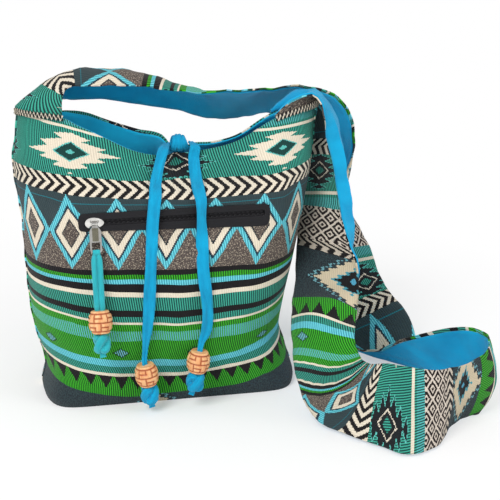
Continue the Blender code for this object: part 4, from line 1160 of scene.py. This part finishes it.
# %% Flat cloth coordinates of the skin
GIRTH_ROW = 26
SIGHTINGS = [-1.0, -0.72, -0.36, -0.08, 0.10, 0.50, 0.72, 1.0]
EDGE_HEIGHTS = {
    56: (34, 21, 10, 11, 12, 15, 24, 34), 62: (40, 29, 18, 18.5, 19, 23, 29, 40),
    76: (56, 44.5, 35.5, 33, 33, 38, 42, 54), 78.5: (59, 48.5, 39.5, 37.5, 37, 42.5, 46, 57),
    91: (76, 66, 57, 55, 53, 56, 63, 74), 112: (97, 90, 82, 80, 78, 78, 79.5, 88),
    119.5: (108, 104.5, 94, 91, 89, 91, 94, 100), 127: (116, 111, 102.5, 98.5, 96, 97.5, 99.5, 108),
    130: (119.5, 114, 105, 102, 99, 101, 103, 112), 135.5: (124, 118.5, 110.5, 108, 105, 107.5, 108, 117),
    142.5: (130, 126.5, 119, 116, 114, 114.5, 115, 122), 156: (141, 139, 134, 131, 129, 129, 129, 134),
    160: (145, 144, 139, 135.5, 134, 134, 135, 140), 168.5: (153, 151.5, 148, 145.5, 143, 142, 143, 148),
    177.5: (161, 159.5, 158, 156, 155, 154, 151, 154), 184: (167, 165.5, 163.5, 161.5, 160.5, 159.5, 157, 160),
    225: (209, 203.5, 203, 202, 201, 199, 200.5, 206), 266: (250, 244.5, 238.5, 235.5, 233, 235, 236, 240),
    292: (270, 262, 255, 250.5, 247.5, 249.5, 252, 258), 317: (289, 284, 277, 268, 264.5, 268, 273.5, 281),
    338.5: (321.5, 308, 295.5, 287, 283, 288, 292, 297), 354: (331, 317, 307, 298, 294, 298, 303, 312),
}


def cloth_v(share, z, front=True):
    table = [(-0.052, 0.0)]
    for edge, heights in EDGE_HEIGHTS.items():
        height = blend(heights[0], heights[-1], smoothstep((share + 1) / 2))
        if front:
            height = through(list(zip(SIGHTINGS, heights)), share)
        table.append((height * 0.001, edge))
    return straight(table, z) * 0.001


def dress_bag():
    rows = skin_rows()
    fronts, girth = len(SHARES), rows[GIRTH_ROW]
    places = marks_along(girth + girth[:1])
    after = min(j for j in range(fronts) if girth[j].x > 0)
    step = girth[after].x / (girth[after].x - girth[after - 1].x)
    centre = blend(places[after], places[after - 1], step)

    def flat(i, j):
        k = j % len(girth)
        share = SHARES[k] if k < fronts else SHARES[2 * fronts - 2 - k]
        return places[j] - centre, cloth_v(share, rows[i][k].z, k < fronts)

    low, high = LEVELS.index(ZIP_Z - SLOT_HALF), LEVELS.index(ZIP_Z + SLOT_HALF)
    left, right = (min(range(fronts), key=lambda k: abs(SHARES[k] - share_at(edge, ZIP_Z)))
                   for edge in (ZIP_MID - ZIP_HALF, ZIP_MID + ZIP_HALF))

    def in_slot(i, j):
        return low <= i < high and left <= j < right

    bag = sheet_of("bag_cloth", rows, flat, closed=True, floor=True, skip=in_slot)
    thicken(bag, CLOTH)
    dress(bag, kilim, "bag", "woven_cotton", "bag_outer")
    print("bag cloth:", len(bag.data.polygons), "faces")


dress_bag()

# %% [markdown]
# ## The lining
# A second bag of plain turquoise cotton hangs inside, a few millimetres smaller, and reaches up to the rim,
# so that a bright line of it shows all along the mouth. Its brightness is partly painted light: the lining
# takes a brighter copy of the turquoise cloth that lines the strap.

# %% Hang the lining
POCKET_ROOM = 0.0066


def line_bag():
    rows, inner = skin_rows(rippled=False), []
    count, last = len(rows[0]), len(rows) - 1
    for i in sorted({*range(0, last, 2), last}):
        to_rim = smoothstep((i - len(LEVELS) + 2) / (RIM_ROWS - 1))
        ease = blend(CLOTH + 0.0024, CLOTH + 0.0004, to_rim)
        row = []
        for j, p in enumerate(rows[i]):
            up = rows[min(i + 1, last)][j] - rows[max(i - 1, 0)][j]
            side = rows[i][(j + 1) % count] - rows[i][(j - 1) % count]
            way = up.cross(side).normalized()
            if i == 0:
                way = Vector((way.x, way.y, 0)).normalized()
            pocket = 0.0
            if p.y < -0.02:
                pocket = POCKET_ROOM * smoothstep((0.122 - abs(p.x - ZIP_MID)) / 0.014)
                pocket *= smoothstep((p.z - 0.069) / 0.020) * smoothstep((0.264 - p.z) / 0.026)
            q = p + way * (ease + pocket)
            if p.y > 0:
                q.z -= 0.0032 * to_rim * smoothstep((0.02 - p.x) / 0.03) * smoothstep((p.x + 0.115) / 0.03)
            if i == 0:
                q.z = CLOTH + 0.0024
            row.append(q)
        inner.append(row)

    def flat(i, j):
        k = j % count
        return inner[i][k].x + (0.5 if j > count // 2 else 0.0), inner[i][k].z

    lining = sheet_of("bag_lining_cloth", inner, flat, closed=True, floor=True)
    thicken(lining, LINING)
    # the bag's lining takes the brighter turquoise copy, painted light on the lit mouth
    dress(lining, lit_lining_cotton, "bag", "lining_cotton", "bag_lining")


line_bag()

# %% [markdown]
# ## The long strap
# The strap is a strip eighty millimetres wide, patterned on one side and turquoise on the other. Each row of
# its route holds the place of its front edge and of its back edge, in millimetres. Between them it bows as its
# true width needs. A row can end with two more values: by how many degrees the front edge is rolled over, so
# that the lining shows, and how much of the full bow is left, or the bow itself.

# %% The strap's route
STRAP_WIDTH, STRAP_CLOTH = 0.080, 0.0016
SEAM_LIFT, SEAM_OVERLAP = 0.0006, 0.0036
STRAP_ROUTE = [
    (-108, -20, 337, -107, 30, 324), (-101, -12, 347, -97, 40, 322, 0, 0.85), (-67, -8, 346, -59, 42, 320),
    (-30, -8, 345, -20, 44, 312), (7, -9, 338, 23, 46, 303, 0, 0.9), (50, -4, 333, 61, 54, 290, 0, 0.7),
    (92, 6, 331, 94, 68, 286, 0, 0.5), (134, 24, 328, 128, 88, 285, 0, 0.5),
    (173, 42, 323, 154, 102, 274, 0, 0.5), (210, 54, 307, 173, 108, 254, 0, 0.5),
    (229, 60, 277, 187, 110, 230, 0, 0.6), (232, 60, 246, 199, 110, 206, 0, 0.7),
    (219, 50, 214, 219, 104, 180, 0, 0.45), (201, 42, 178, 236, 92, 155, 0, 0.4),
    (184, 44, 130, 257, 72, 114, 0, 0.7), (190, 46, 78, 273, 52, 70), (208, 44, 22, 294, 14, 42),
    (225, 23, 5, 294, -50, 7, 0, 0.2), (245, -14, 16, 307, -86, 4, 0, 0.8), (264, -46, 41, 319, -110, 3),
    (292, -83, 66, 333, -124, 3), (320, -108, 79, 331, -136, 3), (333, -135, 80, 327, -151, 3),
    (322, -171, 80, 316, -167, 3), (288, -201, 80, 288, -179, 3), (252, -211, 80, 246, -232, 3),
    (226, -199, 80, 213, -243, 3), (207, -184, 79, 190, -219, 3), (194, -180, 78, 164, -190, 4),
    (186, -180, 80, 141, -164, 7), (180, -176, 85, 128, -140, 24), (177, -162, 98, 122, -128, 58),
    (188, -125, 110, 124, -98, 92), (197, -86, 140, 139, -46, 118, 30, 1.0),
    (201, -58, 178, 154, 6, 158, 90, 0.8), (201, -40, 215, 165, 26, 196, 120, 0.2),
    (197, -29, 255, 173, 34, 240, 125, -0.5), (190, -23, 286, 176, 34, 276, 125, -0.9),
    (177, -22, 318, 168, 27, 310, 45, (8, 0, 2)), (160, -20, 331, 152, 22, 324, 15, (12, 0, 2)),
    (139, -16, 323, 138, 17, 317, 0, (29, 0, 4)),
]
LIP = 1 / 6  # share of the width that rolls over
STRAP_COLUMNS = 24
CREASES = [(0.0007, 150, 5, 0.0), (0.0006, 83, -7, 1.0), (0.0004, 290, 9, 0.0)]


# %% [markdown]
# ## From route to rows
# Each row of the route becomes a section across the strap, with a point for every column. Smooth curves
# through the sections give evenly spaced rows, and soft creases are added last. The sections at both ends
# are the seams on the bag's shoulders.

# %% Loft the strap


def push(rows, distance):
    """The sheet moved along its normals."""
    moved = []
    for i, row in enumerate(rows):
        line = []
        for j, point in enumerate(row):
            along = rows[min(i + 1, len(rows) - 1)][j] - rows[max(i - 1, 0)][j]
            sideways = row[min(j + 1, len(row) - 1)] - row[max(j - 1, 0)]
            line.append(point + sideways.cross(along).normalized() * distance)
        moved.append(line)
    return moved


def shoulder_seam(side, lift):
    points = []
    for k in range(STRAP_COLUMNS + 1):
        turn = math.pi * k / STRAP_COLUMNS
        share = side * (CORNER + (1 - CORNER) * math.sin(turn))
        z = through(RIM, share)
        points.append(Vector((across(share, z), half_gap(side * CORNER) * math.cos(turn), z + lift)))
    return points


def strap_section(front, back, roll, bow, travel):
    sideways = (front - back).normalized()
    outward = sideways.cross(travel).normalized()
    rolled = smoothstep(roll / 60)
    width = STRAP_WIDTH * (1 - LIP * rolled)
    chord = (front - back).length
    if isinstance(bow, tuple):
        bulge = Vector(bow) * 0.001
    else:
        bulge = outward * bow * (math.sqrt(max(width * width - chord * chord, 0.0) * 3 / 16) + 0.002)
    angle = math.radians(roll)
    lip = sideways * math.cos(angle) + outward * math.sin(angle)
    points = []
    for k in range(STRAP_COLUMNS + 1):
        f = k / STRAP_COLUMNS
        g = min(blend(f, f / (1 - LIP), rolled), 1.0)
        past = max(f - (1 - LIP), 0.0) * rolled
        points.append(back.lerp(front, g) + bulge * (4 * g * (1 - g)) + lip * (STRAP_WIDTH * past))
    return points


def strap_rows(pitch):
    pairs = [(Vector(spot[:3]) * 0.001, Vector(spot[3:6]) * 0.001, *(spot[6:] or (0, 1.0)))
             for spot in STRAP_ROUTE]
    left, right = shoulder_seam(-1, SEAM_LIFT), shoulder_seam(1, SEAM_LIFT)
    middles = [(front + back) / 2 for front, back, _, _ in pairs]
    middles = [(left[-1] + left[0]) / 2, *middles, (right[-1] + right[0]) / 2]
    sections = [left, shoulder_seam(-1, SEAM_OVERLAP)]
    for i, (front, back, roll, bow) in enumerate(pairs):
        sections.append(strap_section(front, back, roll, bow, (middles[i + 2] - middles[i]).normalized()))
    sections += [shoulder_seam(1, SEAM_OVERLAP), right]
    marks = [0.0]
    for a, b in zip(sections, sections[1:]):
        marks.append(marks[-1] + sum((p - q).length for p, q in zip(a, b)) / len(a))
    places = [0.0]
    for start, stop in zip(marks, marks[1:]):
        pieces = max(1, round((stop - start) / pitch))
        places += [start + (stop - start) * (k + 1) / pieces for k in range(pieces)]
    tables = [[[(m, s[k][axis]) for m, s in zip(marks, sections)] for axis in range(3)]
              for k in range(STRAP_COLUMNS + 1)]
    rows = [[Vector([through(line, place) for line in table]) for table in tables] for place in places]
    return crease_rows(rows, places), places


def crease_rows(rows, places):
    """Soft wrinkles: the cloth is moved along its normals by a sum of slanting waves."""
    creased = []
    for row, far, place in zip(rows, push(rows, 1.0), places):
        free = smoothstep(place / 0.05) * smoothstep((places[-1] - place) / 0.05)
        creased.append([])
        for k, (p, n) in enumerate(zip(row, far)):
            slack = sum(height * math.sin(along * place + askew * k / STRAP_COLUMNS + shift)
                        for height, along, askew, shift in CREASES)
            creased[-1].append(p + (n - p) * (free * slack))
    return creased


STRAP_ROWS, STRAP_PLACES = strap_rows(0.006)
print("strap is", round(STRAP_PLACES[-1], 3), "m long on", len(STRAP_ROWS), "rows")

# %% [markdown]
# ## The pattern along the strap
# The band edges along the strap are tied to the places where they are seen: over the arch, up the climbing
# end and round the loop on the floor. Behind the mouth a second length of strip is sewn on. Where the strap
# turns, the bands run askew across it, so each place is shifted by a slant times the way across.

# %% Dress the strap
STRAP_BANDS = [(0, 336), (30, 292), (64, 266), (140, 184), (163, 158), (183, 127), (190, 119.5), (213, 112),
               (251, 91), (264, 77), (296, 56), (328, 20)]
STRAP_BANDS_TWO = [(330, 1391), (485, 1236), (549.5, 1178), (568, 1164.5), (617, 1116), (638.6, 1090),
                   (781, 1008), (838, 951), (887, 902), (912, 880), (959, 822), (997, 766), (1009, 752.5),
                   (1053, 704), (1069, 678), (1094, 596), (1105, 568), (1126, 539), (1163, 503), (1182, 488),
                   (1208, 468), (1275, 412), (1286, 396), (1327, 354), (1345, 340.5), (1387, 292), (1405, 266),
                   (1440, 232), (1492, 184)]
STRAP_SLANT = [(0, 0), (520, 0), (549, 9), (568, 16), (617, 28), (660, 28), (700, 0), (1060, 0), (1094, -31),
               (1126, -50), (1163, -33), (1208, -30), (1275, -28), (1327, -10), (1345, 0), (1500, 0)]
STRAP_SHIFT = [(1100, -19), (1115, 1), (1270, 1), (1290, -19), (1500, -19)]
SEAM_AT = 327
LINING_UNDER, LINING_THICKNESS, HEM, HEM_ENDS = 0.0019, 0.0017, 0.045, 1.23


def strap_v(place, share):
    mm = place * 1000
    across_bands = mm - straight(STRAP_SLANT, mm) * (share - 0.5)
    return straight(STRAP_BANDS if mm < SEAM_AT else STRAP_BANDS_TWO, across_bands) * 0.001


def strap_u(place, share):
    """Both strips are sewn on upside down, so their u runs the other way."""
    return (0.5 - share) * STRAP_WIDTH + straight(STRAP_SHIFT, place * 1000) * 0.001


def dress_strap():
    """The lining lies under the cloth. Its hem leaves the front edge free, except where it climbs at the end."""
    last = len(STRAP_ROWS) - 1

    def flat(i, j):
        place, share = STRAP_PLACES[min(i, last)], j / STRAP_COLUMNS
        return strap_u(place, share), strap_v(place, share)

    def flat_back(i, j):
        return j / STRAP_COLUMNS * STRAP_WIDTH, STRAP_PLACES[min(i, last)]

    outer = sheet_of("strap_cloth", STRAP_ROWS, flat)
    thicken(outer, STRAP_CLOTH, 1.0)
    inner = []
    for row, place in zip(push(STRAP_ROWS, -LINING_UNDER), STRAP_PLACES):
        hem = HEM * smoothstep(place / 0.03) * (1 - smoothstep((place - HEM_ENDS) / 0.03))
        line = []
        for k in range(STRAP_COLUMNS + 1):
            spot = k * (1 - hem)
            low = min(int(spot), STRAP_COLUMNS - 1)
            line.append(row[low].lerp(row[low + 1], spot - low))
        inner.append(line)
    back = sheet_of("strap_lining_cloth", inner, flat_back)
    thicken(back, LINING_THICKNESS, 1.0)
    dress(outer, kilim, "bag", "woven_cotton", "strap_outer")
    dress(back, turquoise, "bag", "lining_cotton", "strap_lining")
    long = STRAP_PLACES[-1]
    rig.sheet(outer, flat=(STRAP_WIDTH, round(long, 3)), held="draped", rests_on=["bag_outer"])
    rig.sheet(back, flat=(STRAP_WIDTH, round(long, 3)), held="draped", rests_on=[outer])


dress_strap()

# %% [markdown]
# ## The side seams
# At each side the front and the back of the bag are sewn together and the edge of the cloth stands up as a thin
# piping, which shows the same woven bands as the cloth beside it.

# %% Pipe the side seams


def pipe_side(word, side):
    """u is the same all the way up, so the bands run straight across the piping."""
    points = []
    for k in range(61):
        z = blend(0.012, rim_height(side) - 0.001, k / 60)
        wave = 0.0004 * math.sin(210 * z)
        points.append(Vector((across(side, z) + side * wave, -0.0014, z)))
    piping = sweep("side_piping_" + word, points, 0.0026, 0.0028, Vector((0, -1, 0.1)), 0.0, 10)
    woven = piping.data.uv_layers["woven"].data
    for loop in piping.data.loops:
        z = piping.data.vertices[loop.vertex_index].co.z
        woven[loop.index].uv = (side * 0.240, cloth_v(side, z))
    dress(piping, kilim, "bag", "woven_cotton")


for word, side in (("left", -1), ("right", 1)):
    pipe_side(word, side)

# %% [markdown]
# ## Stitches along the shoulder seams
# The strap is joined to the bag with a row of coarse overlock stitches, a black and a cream thread that run up
# and down across the seam. Each is a thin tube on a zigzag line that lies on the cloth.

# %% Sew the shoulder seams
STITCHES, STITCH_RISE = 30, 0.0027


def sew_shoulder(word, side):
    """A dark and a cream zigzag, each up where the other is down."""
    for thread, finish, phase in (("dark", nylon, 0), ("cream", undyed, 1)):
        points = []
        for k in range(STITCHES + 1):
            turn = math.pi * (0.55 + 0.45 * k / STITCHES)
            share = side * (CORNER + (1 - CORNER) * math.sin(turn))
            z = through(RIM, share) + STITCH_RISE * (1 if (k + phase) % 2 else -1)
            away = Vector((side * 0.35 * math.sin(turn), math.cos(turn), 0)).normalized() * 0.0030
            spot = Vector((across(share, BAG_TOP), half_gap(side * CORNER) * math.cos(turn), z))
            points.append(spot + away)
        tube = sweep("seam_thread_" + word + "_" + thread, points, 0.0024, 0.0016, Vector((0, -1, 0.2)), 0.0, 8)
        dress(tube, finish, "bag", "woven_cotton")


for word, side in (("left", -1), ("right", 1)):
    sew_shoulder(word, side)

# %% [markdown]
# ## The tape round the zip
# A band of black ribbed tape is sewn on round the chain. It is a loft too: its rows are closed lines with
# round ends, the first close to the chain and the last at the tape's outer edge. A thin black flap behind
# the chain is painted shade: it hides the turquoise pocket, so that the gap between the teeth looks dark.

# %% Face the zip
LEFT_END, RIGHT_END, ROUNDING, RIBS = -0.0935, 0.0955, 0.6, 3


def zip_edge(out):
    """Closed line round the chain; out runs from 0 at the chain to 1 at the tape's outer edge."""
    spots = []
    for side, start, stop, reach in ((1, LEFT_END, RIGHT_END, blend(0.0040, 0.0098, out)),
                                     (-1, RIGHT_END, LEFT_END, blend(0.0018, 0.0070, out))):
        spots += [(blend(start, stop, k / 24), side) for k in range(25)]
        for k in range(1, 12):
            a = math.pi * (0.5 - k / 12)
            up = side * math.copysign(abs(math.sin(a)) ** ROUNDING, math.sin(a))
            spots.append((stop + side * reach * math.cos(a) ** ROUNDING, up))
    line = []
    for x, up in spots:
        along = (x - LEFT_END) / (RIGHT_END - LEFT_END)
        wide = blend(0.0106, 0.0100, along) if up > 0 else blend(0.0090, 0.0152, along)
        line.append(Vector((x, -0.0676 - 0.0003 * abs(math.sin(out * RIBS * math.pi)),
                            ZIP_Z + up * blend(0.0034, wide, out))))
    return line


def flat_box(name, size, centre):
    let_go()
    bpy.ops.mesh.primitive_cube_add(size=1, location=centre)
    bpy.ops.transform.resize(value=size, center_override=centre)
    bpy.ops.object.transform_apply(location=True, rotation=True, scale=True)
    piece = bpy.context.object
    piece.name = name
    return piece


tape = sheet_of("zip_facing", [zip_edge(k / 12) for k in range(13)],
                lambda i, j: (j * 0.004, i * 0.001), closed=True)
thicken(tape, 0.0006)
# a black sheet behind the chain: painted shade that hides the turquoise pocket in the gap
shade_flap = flat_box("zip_shade_flap", (0.212, 0.0006, 0.0060), (0.001, -0.0640, ZIP_Z))
for piece in (tape, shade_flap):
    dress(piece, nylon, "bag", "zip_tape")

# %% [markdown]
# ## Brushed nickel
# Metal takes its colour from what it reflects. Fine scratches make it a little darker and rougher in places.
# The tab has a sunk plate on its face, which is modelled as a thin box with soft edges; its darker khaki nickel is a
# painted reflection.

# %% Plate the tab


def nickel_plate(name, light, dark):
    shade = new_finish(name, 0.5, gloss=0.5)
    tree = shade.node_tree
    feed_shader(tree, "Metallic", 1.0)
    place = tree.nodes.new("ShaderNodeTexCoord")
    worn = clouds(tree, place.outputs["Object"], 130, 4)
    feed_shader(tree, "Base Color", dye(tree, light, dark, worn * 1.6 - 0.3))
    feed_shader(tree, "Roughness", worn * 0.16 + 0.08)
    return shade


nickel = nickel_plate("nickel_plate", (0.86, 0.85, 0.82, 1), (0.44, 0.43, 0.41, 1))
# the tab plate's darker khaki colour is a painted reflection
painted_reflection_nickel = nickel_plate("painted_reflection_nickel", (0.42, 0.40, 0.30, 1), (0.20, 0.19, 0.14, 1))
panel = flat_box("tab_panel", (0.0066, 0.0005, 0.0140), (0, 0, 0))
bpy.ops.object.mode_set(mode="EDIT")
bpy.ops.mesh.select_all(action="SELECT")
bpy.ops.mesh.bevel(offset=0.0002, segments=2)
bpy.ops.object.mode_set(mode="OBJECT")
on_tab = Matrix.Translation(TAB_PIN + DOWN * 0.0115 + OUT * 0.0011)
panel.data.transform(on_tab @ Matrix.Rotation(-PULL_TILT, 4, "X"))
dress(panel, painted_reflection_nickel, "pull", "nickel")

# %% [markdown]
# ## What stays from the frame
# The slider, its tab, the teeth, the tapes and the hidden cloth already have their true shape, so they only
# get their finish: nickel, black woven nylon or turquoise cotton.

# %% Finish the nodes that stay
KEPT_NODES = [
    (nickel, ("zip_slider", "pull_tab")),
    (nylon, ("zip_stop_left", "zip_stop_right", "zip_tape_upper", "zip_tape_lower", "zip_teeth_upper",
             "zip_teeth_lower")),
    (turquoise, ("pocket_bag", "tie_stem_front", "tie_stem_back")),
]


def finish_node(node, finish):
    piece = frame["nodes"][node]
    for k in range(max(len(piece.data.materials), 1)):
        if k < len(piece.material_slots):
            piece.material_slots[k].material = finish
        else:
            piece.data.materials.append(finish)


for finish, nodes in KEPT_NODES:
    for node in nodes:
        finish_node(node, finish)

# %% [markdown]
# ## The size of the dressed bag
# The dressed bag has to fill the same box as the solids, give or take the cloth's own softness. Both boxes are written
# to extents.json.

# %% Measure and finish
dressed_box = [[float(value) for value in corner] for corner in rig.bounds()]
with open("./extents.json", "w") as out:
    json.dump({"cad": cad_box, "dressed": dressed_box}, out)
print("dressed", dressed_box)
